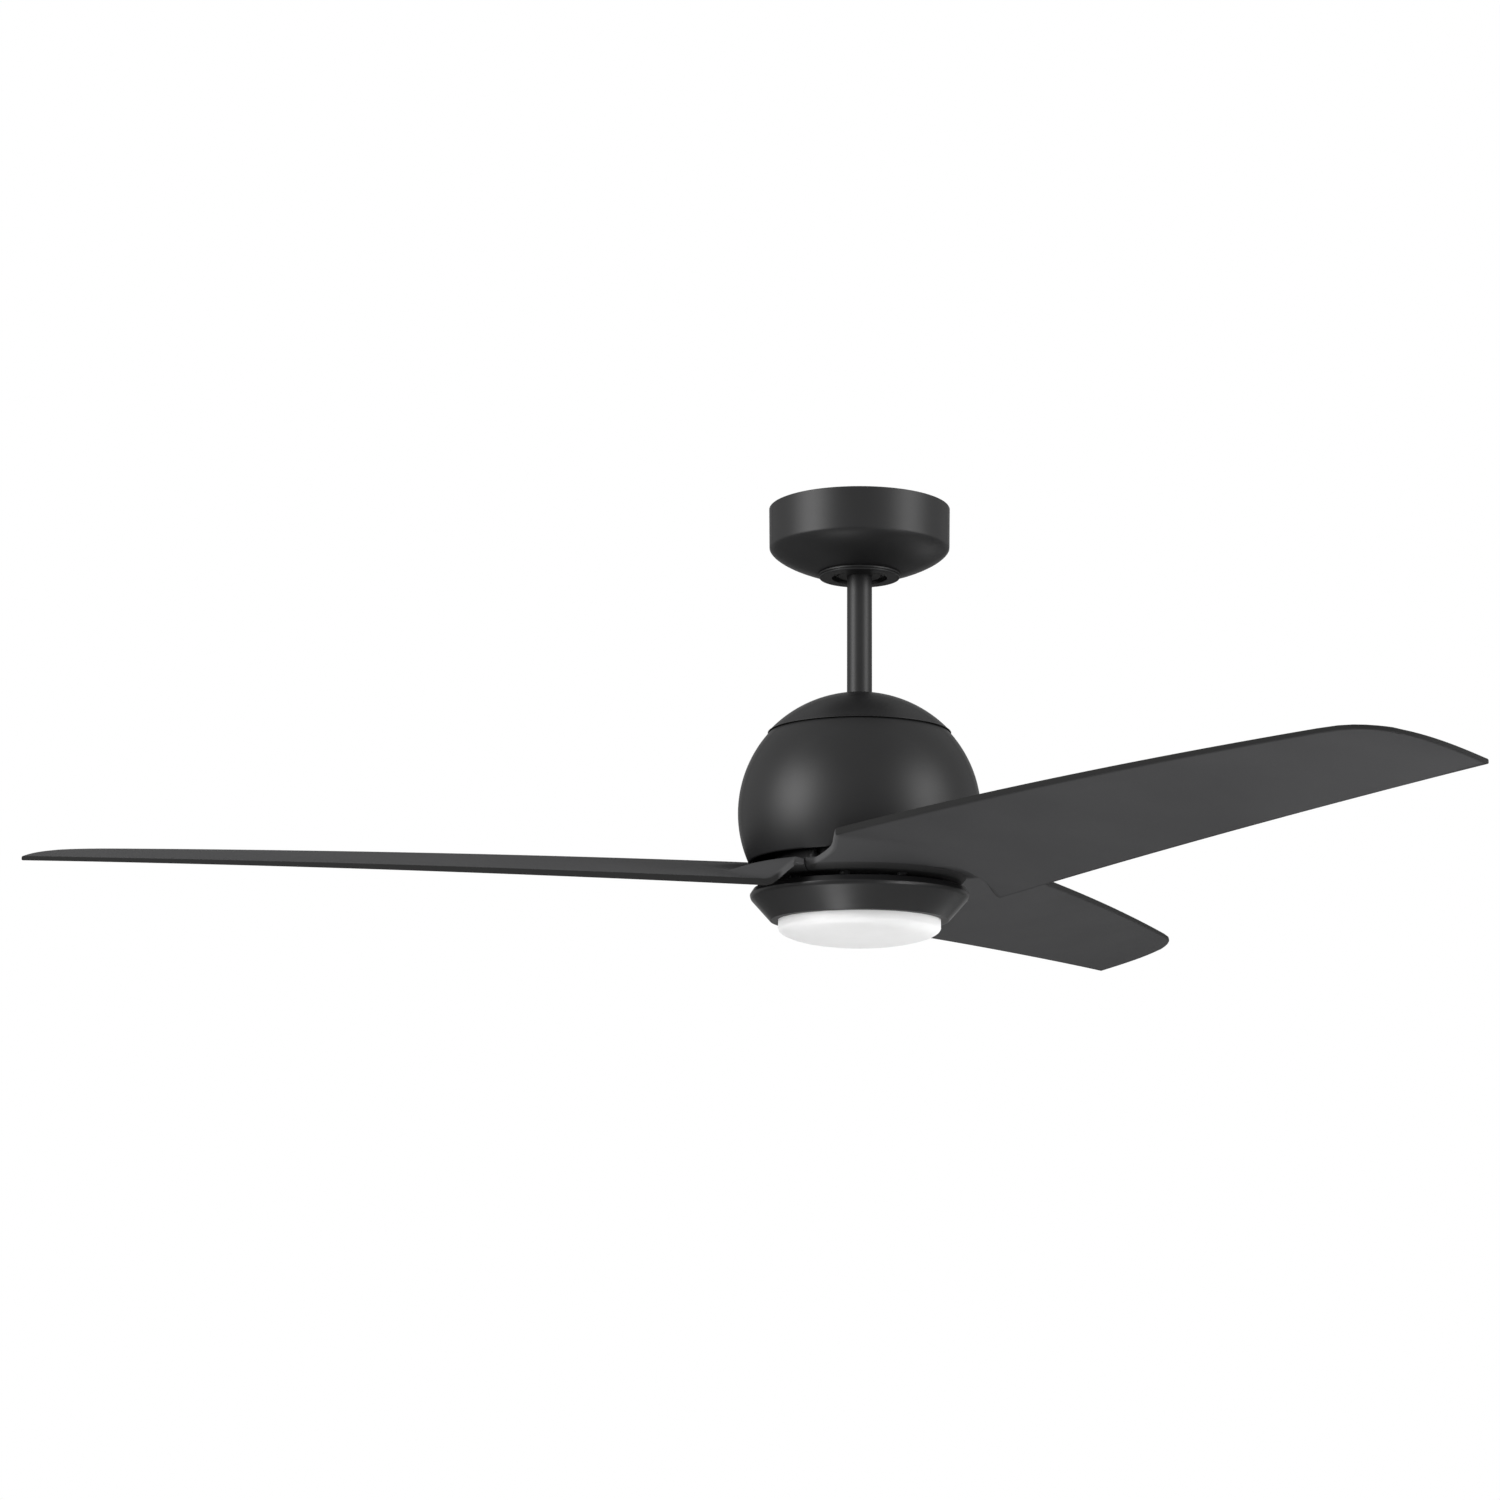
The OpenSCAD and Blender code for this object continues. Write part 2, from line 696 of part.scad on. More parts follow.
module motor_shaft() {
    color("#a8aaad")
        difference() {
            union() {
                post(shaft_d / 2, z_plate_top, z_shaft_top);
                post(shaft_d / 2 - 0.5, z_shaft_end, z_plate_top + 1);
                post(
                    shaft_shoulder_d / 2,
                    z_lower_bearing + bearing_w + bearing_play,
                    z_upper_bearing - bearing_play
                );
            }
            post(shaft_bore_d / 2, z_shaft_end - 1, z_shaft_top + 1);
        }
}

module stator_core() {
    half = stator_r;
    color("#5c6066")
        translate([0, 0, z_stator - stator_h / 2])
            linear_extrude(height = stator_h)
                difference() {
                    union() {
                        circle(r = stator_hub_r);
                        around(stator_teeth) translate([0, -tooth_w / 2]) square([half - 1, tooth_w]);
                        difference() {
                            circle(r = half);
                            circle(r = half - tooth_tip_t);
                            around(stator_teeth, 180 / stator_teeth)
                                translate([0, -tooth_slot / 2]) square([half + 1, tooth_slot]);
                        }
                    }
                    circle(r = shaft_shoulder_d / 2 + slip_fit);
                }
}

module stator_windings() {
    coil_l = stator_r - tooth_tip_t - stator_hub_r - 2 * coil_gap;
    coil_w = 2 * (stator_hub_r + coil_gap) * tan(180 / stator_teeth) - coil_gap;
    color("#b0622a")
        around(stator_teeth) translate([stator_hub_r + coil_gap, 0, z_stator])
            difference() {
                translate([0, -coil_w / 2, -stator_h / 2 - coil_over])
                    cube([coil_l, coil_w, stator_h + 2 * coil_over]);
                translate([-1, -tooth_w / 2 - coil_gap / 2, -stator_h / 2 - coil_gap / 2])
                    cube([coil_l + 2, tooth_w + coil_gap, stator_h + coil_gap]);
            }
}

// A sealed ball bearing whose lower face is at z = low.
module bearing(low) {
    inner = shaft_d / 2 + running_fit;
    outer = bearing_d / 2 - press_gap;
    color("#c4c7ca")
        difference() {
            ring(outer, inner, low, low + bearing_w);
            ring(outer - 3, inner + 3, low - 1, low + 0.8);
            ring(outer - 3, inner + 3, low + bearing_w - 0.8, low + bearing_w + 1);
        }
}

module upper_bearing() {
    bearing(z_upper_bearing);
}

module lower_bearing() {
    bearing(z_lower_bearing);
}

// One end shield of the motor: a disc from z = low to high, its rim to z = rim, its boss to z = boss.
module shield(low, high, rim, boss) {
    color("#2b2b2b")
        difference() {
            union() {
                post(motor_r, low, high);
                ring(motor_r, rotor_ring_r, min(rim, high - 1), max(rim, low + 1));
                post(bearing_boss_r, min(boss, low), max(boss, high));
                around(3) translate([bolt_circle_r, 0, 0]) post(bolt_lug_r, low, high);
            }
            children();
            around(6, 30) translate([vent_circle, 0, 0]) post(vent_r, low - 1, high + 1);
            around(3) translate([bolt_circle_r, 0, 0]) post(bolt_r + slip_fit, low - 1, high + 1);
        }
}

module rotor_upper_shield() {
    shield(z_motor_top - shield_t, z_motor_top, z_stator + rotor_ring_h / 2, z_upper_bearing)
        post(bearing_d / 2, z_upper_bearing - 1, z_motor_top + 1);
}

module rotor_lower_shield() {
    boss = z_lower_bearing + bearing_w;
    shield(z_motor_bottom, z_motor_bottom + shield_t, z_stator - rotor_ring_h / 2, boss)
        union() {
            post(bearing_d / 2, z_lower_bearing, boss + 1);
            post(shaft_shoulder_d / 2 + 1, z_motor_bottom - 1, z_lower_bearing + 1);
        }
}

module rotor_ring() {
    color("#7c7f83")
        ring(motor_r, rotor_ring_r, z_stator - rotor_ring_h / 2, z_stator + rotor_ring_h / 2);
}

module rotor_magnets() {
    span = 360 / magnet_count;
    magnet_h = rotor_ring_h - 2;
    color("#44474b")
        around(magnet_count) translate([0, 0, z_stator - magnet_h / 2])
            rotate_extrude(angle = span - 1.5)
                translate([magnet_r, 0]) square([magnet_t - press_gap, magnet_h]);
}

module motor_bolts() {
    head_h = 3;
    color("#2b2b2b")
        around(3) translate([bolt_circle_r, 0, 0]) {
            difference() {
                post(bolt_r + 2, z_motor_top, z_motor_top + head_h);
                translate([0, 0, z_motor_top + 1]) cylinder(r = bolt_r / 1.4, h = head_h, $fn = 6);
            }
            post(bolt_r, z_hub_bottom + 0.5, z_motor_top + tiny);
        }
}

// ---------------------------------------------------------------- blades

// Angles of the three screws of each blade, from the middle of its root.
blade_screw_angles = [-40, 0, 40];

// The screws of blade number k, or their holes.
module at_blade_screws(k) {
    for (turn = blade_screw_angles)
        rotate([0, 0, first_blade_angle + collar_mid + blade_turn * (k - 1) + turn])
            translate([blade_screw_circle, 0, 0]) children();
}

module blade_hub() {
    color("#2b2b2b")
        difference() {
            ring(collar_r - collar_wall_t - hub_gap, hub_hole_r, z_hub_bottom, z_hub_top);
            around(3) translate([bolt_circle_r, 0, 0])
                post(bolt_r + slip_fit, z_hub_bottom - 1, z_hub_top + 1);
            for (k = [1 : blade_count])
                at_blade_screws(k) post(blade_screw_r + slip_fit, z_hub_bottom - 1, z_hub_top + 1);
        }
}

// The part of a ring that one blade covers, from a profile in r and z.
module root_segment(gap, first) {
    half = atan(gap / 2 / collar_r);
    rotate([0, 0, first + half])
        rotate_extrude(angle = blade_turn - 2 * half) children();
}

module blade_gaskets() {
    color("#1a1a1a")
        for (k = [1 : blade_count])
            difference() {
                root_segment(3, first_blade_angle + collar_mid + blade_turn * (k - 1.5))
                    translate([flange_in_r + 2, z_gasket_bottom])
                        square([collar_r - collar_wall_t - flange_in_r - 4, gasket_t]);
                at_blade_screws(k) post(blade_screw_r + slip_fit, z_gasket_bottom - 1, z_hub_bottom + 1);
            }
}

// A blade is drawn with its centre line along x. Its leading edge is high and on the -y side, and
// c is the distance across the blade towards that edge.
function along(x) = (x - root_x) / (end_x - root_x);
function bulge(t) = 4 * t * (1 - t);
function lead_c(x) = mix(lead_root, lead_tip, along(x)) + lead_bulge * bulge(along(x));
function trail_c(x) = -mix(trail_root, trail_tip, along(x));
function centre_z(x) = blade_z + blade_rise * along(x) + blade_bow * bulge(along(x));
function blade_t(x) = mix(blade_t_root, blade_t_tip, clamp01(along(x)));

tip_x = sqrt(pow(tip_r, 2) - pow(trail_c(tip_r), 2));
tip_start = tip_x - tip_round;

// Edges of the blade at distance x from the fan's axis, with the tip's rounding.
function edge_lead_c(x) =
    let (low = trail_c(tip_x), u = clamp01((x - tip_start) / tip_round))
    low + (lead_c(x) - low) * pow(1 - pow(u, tip_fullness), 1 / tip_fullness);
function edge_trail_c(x) =
    trail_c(x) + tip_corner_r * (1 - sqrt(1 - pow(clamp01((x - tip_x) / tip_corner_r + 1), 2)));

// Edges of the blade near the collar, as angles at distance rho from the axis.
function lead_angle(rho) =
    let (
        far = max(rho, lead_join_r),
        on_edge = asin(lead_c(sqrt(pow(far, 2) - pow(lead_root, 2))) / far)
    )
    mix(root_lead_angle, on_edge, clamp01((rho - collar_r) / (lead_join_r - collar_r)))
        + lead_fillet_angle * pow(clamp01(1 - (rho - collar_r) / lead_fillet_w), 2);
function trail_angle(rho) =
    let (far = max(rho, trail_root + 5), on_edge = asin(trail_c(sqrt(pow(far, 2) - pow(trail_root, 2))) / far))
    max(root_trail_angle, on_edge);

// Underside of the blade: a pitched plane that a steep flare joins to the collar on the leading side,
// and a bend beyond a narrow ledge on the trailing side.
function under_z(x, c) =
    let (
        rho = norm([x, c]),
        angle = atan2(c, x),
        out = max(0, rho - collar_r),
        plane = centre_z(x) + tan(pitch) * c - blade_t(x) / 2,
        steep = flare_steepness * pow(clamp01((angle - flare_from) / (root_lead_angle - flare_from)), 1.5),
        flare = min(plane, z_collar_low + steep * out),
        bend = mix(z_collar_low, plane, smooth((out - bend_from) / bend_w))
    )
    mix(bend, flare, smooth((angle - flare_from + 4) / 12));
function sheet_t(x, c) = mix(collar_wall_h, blade_t(x), smooth((norm([x, c]) - collar_r) / root_reach));

// Distances from the axis of the blade's cross sections.
section_count = [13, 3, 11, 10];
sections = concat(
    [for (i = [0 : section_count[0]]) mix(collar_r - 2, arc_end_x, pow(i / section_count[0], 1.6))],
    [for (i = [1 : section_count[1]]) mix(arc_end_x, chord_start_x, i / section_count[1])],
    [for (i = [1 : section_count[2]]) mix(chord_start_x, tip_start, i / section_count[2])],
    [for (i = [1 : section_count[3]])
        tip_start + tip_round * min(0.9995, 1 - pow(1 - i / section_count[3], 2.2))]
);
columns = 12;

// Point number j of the cross section at distance d: an arc near the collar, a chord further out.
function section_point(d, j) =
    let (
        u = j / columns,
        angle = mix(trail_angle(d), lead_angle(d), u),
        straight = clamp01((d - arc_end_x) / (chord_start_x - arc_end_x)),
        bent_x = d * cos(angle),
        bent_c = d * sin(angle),
        x = mix(bent_x, d, straight),
        c = straight < 1 ? mix(bent_c, mix(trail_c(d), lead_c(d), u), straight)
            : mix(edge_trail_c(d), d > tip_start ? edge_lead_c(d) : lead_c(d), u)
    )
    [x, c];

// The blade's sheet: one closed ring of points for each section, over the top and back under it.
module blade_sheet() {
    ring_n = 2 * (columns + 1);
    inset = 0.2;
    points = [
        for (d = sections)
            let (cut = d < collar_r ? inset : 0)
            for (j = [0 : ring_n - 1])
                let (
                    top = j <= columns,
                    p = section_point(d, top ? j : ring_n - 1 - j),
                    low = under_z(p.x, p.y),
                    z = top ? low + sheet_t(p.x, p.y) - cut : low + cut
                )
                [p.x, -p.y, z]
    ];
    sides = [
        for (i = [0 : len(sections) - 2], j = [0 : ring_n - 1])
            let (a = i * ring_n + j, b = i * ring_n + (j + 1) % ring_n)
            for (tri = [[a, a + ring_n, b], [b, a + ring_n, b + ring_n]]) tri
    ];
    last = (len(sections) - 1) * ring_n;
    caps = [
        for (j = [0 : columns - 1])
            let (a = j, b = j + 1, c = ring_n - 2 - j, d = ring_n - 1 - j)
            for (tri = [
                [a, b, c], [a, c, d],
                [last + c, last + b, last + a], [last + d, last + c, last + a]
            ]) tri
    ];
    polyhedron(points = points, faces = concat(sides, caps));
}

module blade(k) {
    wall_in = collar_r - collar_wall_t;
    color("#2b2b2b")
        difference() {
            rotate([0, 0, first_blade_angle + blade_turn * (k - 1)])
                union() {
                    root_segment(seam_gap, collar_mid - blade_turn / 2)
                        polygon([
                            [wall_in, z_collar_top], [collar_r, z_collar_top], [collar_r, z_collar_low],
                            [wall_in, z_collar_bottom], [flange_in_r, z_collar_bottom],
                            [flange_in_r, z_gasket_bottom], [wall_in, z_gasket_bottom]
                        ]);
                    blade_sheet();
                }
            at_blade_screws(k) post(blade_screw_r + slip_fit, z_collar_bottom - 1, z_gasket_bottom + 1);
        }
}

module blade_screws() {
    head_h = 2.2;
    color("#2b2b2b")
        for (k = [1 : blade_count])
            at_blade_screws(k) {
                difference() {
                    post(blade_screw_r + 2, z_collar_bottom - head_h, z_collar_bottom);
                    translate([-2.5, -0.5, z_collar_bottom - head_h - 1]) cube([5, 1, 2.2]);
                    translate([-0.5, -2.5, z_collar_bottom - head_h - 1]) cube([1, 5, 2.2]);
                }
                post(blade_screw_r, z_collar_bottom - tiny, z_hub_top - 0.5);
            }
}

// ---------------------------------------------------------------- light

// The light ring's solid outline: a rounded top edge, a shoulder and a cone, with cut as its wall.
module light_form(cut) {
    big = light_d / 2;
    run = big - light_shoulder_w - light_low_d / 2;
    rise = light_h - light_edge_h - light_shoulder_h;
    slant = norm([run, rise]);
    foot = light_low_d / 2 + cut * ((slant - run) * run / rise - rise) / slant;
    rotate_extrude()
        polygon(concat(
            [[0, z_light_top - cut]],
            [for (a = [90 : -15 : 0]) [
                big - light_edge_w + (light_edge_w - cut) * cos(a),
                z_light_top - light_edge_h + (light_edge_h - cut) * sin(a)
            ]],
            [[big - light_shoulder_w / 3 - cut, z_light_top - light_edge_h - light_shoulder_h / 2]],
            [[
                big - light_shoulder_w - cut * rise / slant,
                z_light_top - light_edge_h - light_shoulder_h + cut * run / slant
            ]],
            [[foot, z_light_bottom + cut], [0, z_light_bottom + cut]]
        ));
}

module light_plate() {
    color("#a8aaad")
        difference() {
            ring(light_plate_r, shaft_d / 2 - 0.5 + slip_fit, z_plate_bottom, z_plate_top);
            around(3, 30) translate([light_screw_circle, 0, 0])
                post(light_screw_r + slip_fit, z_plate_bottom - 1, z_plate_top + 1);
            around(3, 60) translate([standoff_circle, 0, 0])
                post(standoff_stud_r + slip_fit, z_plate_bottom - 1, z_plate_top + 1);
        }
}

module shaft_nut() {
    color("silver")
        difference() {
            translate([0, 0, z_plate_bottom - nut_h]) cylinder(r = 12 / cos(30), h = nut_h, $fn = 6);
            post(shaft_d / 2 - 0.5 + slip_fit, z_plate_bottom - nut_h - 1, z_plate_bottom + 1);
        }
}

module light_ring() {
    color("#2b2b2b") {
        difference() {
            light_form(0);
            light_form(light_wall);
            post(light_d / 2 - light_lip_w, z_light_top - 2 * light_wall, z_light_top + 1);
            post(lens_hole_r, z_light_bottom - 1, z_light_bottom + 2 * light_wall);
            around(3, 30) translate([light_screw_circle, 0, 0])
                post(light_screw_r + slip_fit, z_light_top - 2 * light_wall, z_light_top + 1);
        }
        ring(
            lens_hole_r + light_wall, lens_hole_r,
            z_light_bottom + light_wall - tiny, z_light_bottom + lens_top + 2
        );
        around(3, lens_lug_angle)
            translate([lens_hole_r - lug_in, 0, z_lens_lug])
                rotate([0, 90, 0]) cylinder(r = lug_r, h = lug_in + light_wall / 2);
    }
}

module light_screws() {
    color("silver")
        around(3, 30) translate([light_screw_circle, 0, 0]) {
            post(light_screw_r + 1.3, z_plate_bottom - 2, z_plate_bottom);
            post(light_screw_r, z_plate_bottom - tiny, z_light_top - 0.3);
        }
}

module light_standoffs() {
    color("#c4c7ca")
        around(3, 60) translate([standoff_circle, 0, 0])
            difference() {
                union() {
                    post(standoff_r, z_led_plate, z_plate_bottom);
                    post(standoff_stud_r, z_plate_bottom - tiny, z_plate_top);
                }
                post(led_screw_r + slip_fit, z_led_plate - 1, z_led_plate + 6);
            }
}

module led_screws() {
    low = z_led_plate - led_plate_t;
    color("silver")
        around(3, 60) translate([standoff_circle, 0, 0]) {
            post(led_screw_r + 1.4, low - 1.6, low);
            post(led_screw_r, low - tiny, z_led_plate + 5.5);
        }
}

module led_driver() {
    color("#e8e8e4")
        translate([driver_x, -driver_w / 2, z_led_plate]) cube([driver_l, driver_w, driver_h]);
}

module led_plate() {
    color("#d8dadc")
        difference() {
            ring(led_plate_r, 0, z_led_plate - led_plate_t, z_led_plate);
            around(3, 60) translate([standoff_circle, 0, 0])
                post(led_screw_r + slip_fit, z_led_plate - led_plate_t - 1, z_led_plate + 1);
        }
}

module led_board() {
    color("#f2f2ee")
        ring(led_board_r, 0, z_led_plate - led_plate_t - led_board_t, z_led_plate - led_plate_t);
}

module led_chips() {
    low = z_led_plate - led_plate_t - led_board_t;
    color("#f4e08a")
        for (circle_n = [1, 2])
            around(circle_n * chip_count / 3)
                translate([circle_n * led_board_r * 0.4 - chip_w / 2, -chip_w / 2, low - 0.8])
                    cube([chip_w, chip_w, 0.8]);
}

// The lens's outline, a straight side over an elliptic dome, shrunk by cut.
module lens_form(cut, top) {
    side_r = lens_d / 2 - cut;
    z_side = z_light_bottom - lens_side_h;
    rotate_extrude()
        polygon(concat(
            [[0, top], [side_r, top]],
            [for (a = [0 : 7.5 : 90]) [side_r * cos(a), z_side - (lens_dome_h - cut) * sin(a)]]
        ));
}

module lens() {
    z_top = z_light_bottom + lens_top;
    slot_h = 2 * lug_r + 2 * slip_fit;
    lug_turn = asin((lug_r + 3 * slip_fit) / (lens_d / 2));
    color("#f4f4f2")
        difference() {
            lens_form(0, z_top);
            lens_form(lens_wall, z_top + 1);
            around(3, lens_lug_angle) {
                rotate([0, 0, -lens_turn - lug_turn])
                    rotate_extrude(angle = lens_turn + 2 * lug_turn)
                        translate([lens_d / 2 - lens_wall - 1, z_lens_lug - slot_h / 2])
                            square([lens_wall + 2, slot_h]);
                rotate([0, 0, -lens_turn])
                    translate([lens_d / 2 - lens_wall - 1, -lug_r - slip_fit, z_lens_lug])
                        cube([lens_wall + 2, slot_h, lens_top]);
            }
        }
}

hanger_bracket();
ground_screw();
receiver();
canopy();
canopy_screws();
canopy_trim_ring();
hanger_ball();
ball_pin();
downrod();
rod_grommet();
lead_wires();
motor_coupling();
coupling_pin();
coupling_clip();
coupling_set_screws();
ball_cap();
motor_housing();
housing_screws();
motor_shaft();
stator_core();
stator_windings();
upper_bearing();
lower_bearing();
rotor_upper_shield();
rotor_lower_shield();
rotor_ring();
rotor_magnets();
motor_bolts();
blade_hub();
blade_gaskets();
blade(1);  // blade_1
blade(2);  // blade_2
blade(3);  // blade_3
blade_screws();
light_plate();
shaft_nut();
light_ring();
light_screws();
light_standoffs();
led_driver();
led_plate();
led_screws();
led_board();
led_chips();
lens();
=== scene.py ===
"""A three-blade ceiling fan with a round housing and a light, finished piece by piece on its CAD frame."""

import math

import bmesh
import bpy
from mathutils import Matrix, Vector


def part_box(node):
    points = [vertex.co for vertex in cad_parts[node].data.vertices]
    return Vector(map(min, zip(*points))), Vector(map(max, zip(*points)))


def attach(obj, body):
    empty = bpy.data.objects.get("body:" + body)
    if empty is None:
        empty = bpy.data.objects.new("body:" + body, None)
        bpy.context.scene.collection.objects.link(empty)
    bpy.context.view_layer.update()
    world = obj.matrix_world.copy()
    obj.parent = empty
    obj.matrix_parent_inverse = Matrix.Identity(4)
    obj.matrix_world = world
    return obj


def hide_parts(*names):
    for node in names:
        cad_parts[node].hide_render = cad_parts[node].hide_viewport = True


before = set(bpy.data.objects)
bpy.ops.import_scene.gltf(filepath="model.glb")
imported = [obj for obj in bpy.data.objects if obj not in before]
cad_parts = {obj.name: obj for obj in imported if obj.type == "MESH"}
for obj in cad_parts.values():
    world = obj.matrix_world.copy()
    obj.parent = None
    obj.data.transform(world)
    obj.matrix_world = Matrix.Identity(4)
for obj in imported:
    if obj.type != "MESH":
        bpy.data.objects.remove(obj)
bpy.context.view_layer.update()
mm = 0.001


# ---- Canopy ----
# The round cover against the ceiling. It is spun from 1.2 mm steel sheet, painted matte black, and
# two screws through its floor hold it to the bracket.


def deselect():
    """Leaves nothing selected."""
    bpy.ops.object.select_all(action="DESELECT")


def arc(centre, radius, first, last, steps):
    """Points (radius, height) on a round corner, from angle first to angle last in degrees."""
    turns = [math.radians(first + (last - first) * i / steps) for i in range(steps + 1)]
    return [(centre[0] + radius * math.cos(a), centre[1] + radius * math.sin(a)) for a in turns]


def drawn_profile(name, points, turn=0.0):
    """A chain of edges through points (radius, height), extruded from one vertex at that turn from +X."""
    deselect()
    bpy.ops.mesh.primitive_plane_add(size=mm, location=(0, 0, 0))
    piece = bpy.context.object
    piece.name = piece.data.name = name
    along = Vector((math.cos(turn), math.sin(turn), 0))
    bpy.ops.object.mode_set(mode="EDIT")
    bpy.ops.mesh.select_mode(type="VERT")
    bpy.ops.mesh.merge(type="CENTER")
    bpy.ops.transform.translate(value=along * points[0][0] + Vector((0, 0, points[0][1])))
    for (r0, z0), (r1, z1) in zip(points, points[1:]):
        step = along * (r1 - r0) + Vector((0, 0, z1 - z0))
        bpy.ops.mesh.extrude_region_move(TRANSFORM_OT_translate={"value": step})
    bpy.ops.mesh.select_all(action="SELECT")
    bpy.ops.mesh.remove_doubles(threshold=0.01 * mm)
    return piece


def spun(name, points, steps=144):
    """A solid of revolution from a closed chain of points (radius, height)."""
    piece = drawn_profile(name, [*points, points[0]])
    bpy.ops.mesh.spin(steps=steps, angle=math.tau, center=(0, 0, 0), axis=(0, 0, 1))
    bpy.ops.mesh.select_all(action="SELECT")
    bpy.ops.mesh.remove_doubles(threshold=0.01 * mm)
    bpy.ops.mesh.normals_make_consistent(inside=False)
    bpy.ops.object.mode_set(mode="OBJECT")
    return piece


def modify(piece, kind, **settings):
    """Adds a modifier with its settings and applies it."""
    bpy.context.view_layer.objects.active = piece
    modifier = piece.modifiers.new(kind.title(), kind)
    for key, value in settings.items():
        setattr(modifier, key, value)
    bpy.ops.object.modifier_apply(modifier=modifier.name)


def soften(piece, width, angle=32, segments=3):
    """Rounds the piece's sharp edges and smooths its faces."""
    deselect()
    piece.select_set(True)
    bpy.context.view_layer.objects.active = piece
    modify(
        piece,
        "BEVEL",
        width=width,
        segments=segments,
        limit_method="ANGLE",
        angle_limit=math.radians(angle),
        use_clamp_overlap=False,
    )
    bpy.ops.object.shade_smooth()
    modify(piece, "WEIGHTED_NORMAL", keep_sharp=True, weight=60)


def effect(name, inputs, outputs):
    """An empty node group with named number inputs and outputs, and its two end nodes."""
    group = bpy.data.node_groups.new(name, "ShaderNodeTree")
    for label, value in inputs.items():
        group.interface.new_socket(label, in_out="INPUT", socket_type="NodeSocketFloat").default_value = value
    for label, kind in outputs.items():
        group.interface.new_socket(label, in_out="OUTPUT", socket_type=kind)
    return group, group.nodes.new("NodeGroupInput"), group.nodes.new("NodeGroupOutput")


def node(tree, kind, settings=None, **links):
    """A shader node with its settings, whose inputs take values or other nodes' outputs."""
    made = tree.nodes.new(kind)
    for key, value in (settings or {}).items():
        setattr(made, key, value)
    for label, value in links.items():
        socket = made.inputs[label.replace("_", " ")] if label.replace("_", " ") in made.inputs else None
        socket = socket or made.inputs[int(label[1:])]
        if isinstance(value, bpy.types.NodeSocket):
            tree.links.new(value, socket)
        else:
            socket.default_value = value
    return made


# Fine texture of a painted or moulded surface: a bump of even grains, and a slow mottle for colour.
grain, grain_in, grain_out = effect(
    "fine_grain",
    {"Size": 0.0005, "Height": 0.00002, "Mottle size": 0.06},
    {"Normal": "NodeSocketVector", "Mottle": "NodeSocketFloat", "Speck": "NodeSocketFloat"},
)
grain_place = node(grain, "ShaderNodeTexCoord").outputs["Object"]
grain_scale = node(grain, "ShaderNodeMath", {"operation": "DIVIDE"}, _0=1.0, _1=grain_in.outputs["Size"])
grain_noise = node(
    grain, "ShaderNodeTexNoise", Vector=grain_place, Scale=grain_scale.outputs[0], Detail=3.0, Roughness=0.55
)
mottle_scale = node(
    grain, "ShaderNodeMath", {"operation": "DIVIDE"}, _0=1.0, _1=grain_in.outputs["Mottle size"]
)
mottle = node(grain, "ShaderNodeTexNoise", Vector=grain_place, Scale=mottle_scale.outputs[0], Detail=4.0)
grain_bump = node(
    grain,
    "ShaderNodeBump",
    Strength=1.0,
    Distance=grain_in.outputs["Height"],
    Height=grain_noise.outputs["Fac"],
)
grain.links.new(grain_bump.outputs["Normal"], grain_out.inputs["Normal"])
grain.links.new(mottle.outputs["Fac"], grain_out.inputs["Mottle"])
grain.links.new(grain_noise.outputs["Fac"], grain_out.inputs["Speck"])


def material(name, roughness=0.5, metallic=0.0, **shader_values):
    """A material with its shader, and the shader's plain values set on its own sockets."""
    made = bpy.data.materials.new(name)
    made.use_nodes = True
    shader = made.node_tree.nodes["Principled BSDF"]
    shader.inputs["Roughness"].default_value = roughness
    shader.inputs["Metallic"].default_value = metallic
    for label, value in shader_values.items():
        shader.inputs[label.replace("_", " ")].default_value = value
    return made, made.node_tree, shader


# Most of a noise's values lie between these two, so colours and numbers run their range between them.
fac_low, fac_high = 0.3, 0.7


def between(tree, fac, low, high, socket):
    """Drives a number socket from low to high as fac goes from fac_low to fac_high."""
    spread = node(
        tree, "ShaderNodeMapRange", Value=fac, From_Min=fac_low, From_Max=fac_high, To_Min=low, To_Max=high
    )
    tree.links.new(spread.outputs["Result"], socket)


def shades(tree, fac, dark, light, socket):
    """Drives a colour socket from dark to light as fac goes from fac_low to fac_high."""
    ramp = node(tree, "ShaderNodeValToRGB", Fac=fac)
    ramp.color_ramp.elements[0].position = fac_low
    ramp.color_ramp.elements[0].color = (*dark, 1)
    ramp.color_ramp.elements[1].position = fac_high
    ramp.color_ramp.elements[1].color = (*light, 1)
    tree.links.new(ramp.outputs["Color"], socket)


def grained(tree, shader, size, height, mottle_size=0.06):
    """Places the fine grain in a material, with its bump on the shader."""
    made = node(tree, "ShaderNodeGroup", {"node_tree": grain})
    made.inputs["Size"].default_value = size
    made.inputs["Height"].default_value = height
    made.inputs["Mottle size"].default_value = mottle_size
    tree.links.new(made.outputs["Normal"], shader.inputs["Normal"])
    return made


def surface(name, size, height, mottle_size, dark, light, smooth, rough, **shader_values):
    """A material with the fine grain, a colour from dark to light and a roughness from smooth to rough."""
    made, tree, shader = material(name, **shader_values)
    texture = grained(tree, shader, size, height, mottle_size)
    shades(tree, texture.outputs["Mottle"], dark, light, shader.inputs["Base Color"])
    between(tree, texture.outputs["Speck"], smooth, rough, shader.inputs["Roughness"])
    return made


def fit(piece, finish, slot, body, *cad_nodes):
    """Gives a piece its finish, its body, and the CAD nodes that it stands for."""
    piece.data.materials.clear()
    piece.data.materials.append(finish)
    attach(piece, body)
    if cad_nodes:
        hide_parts(*cad_nodes)


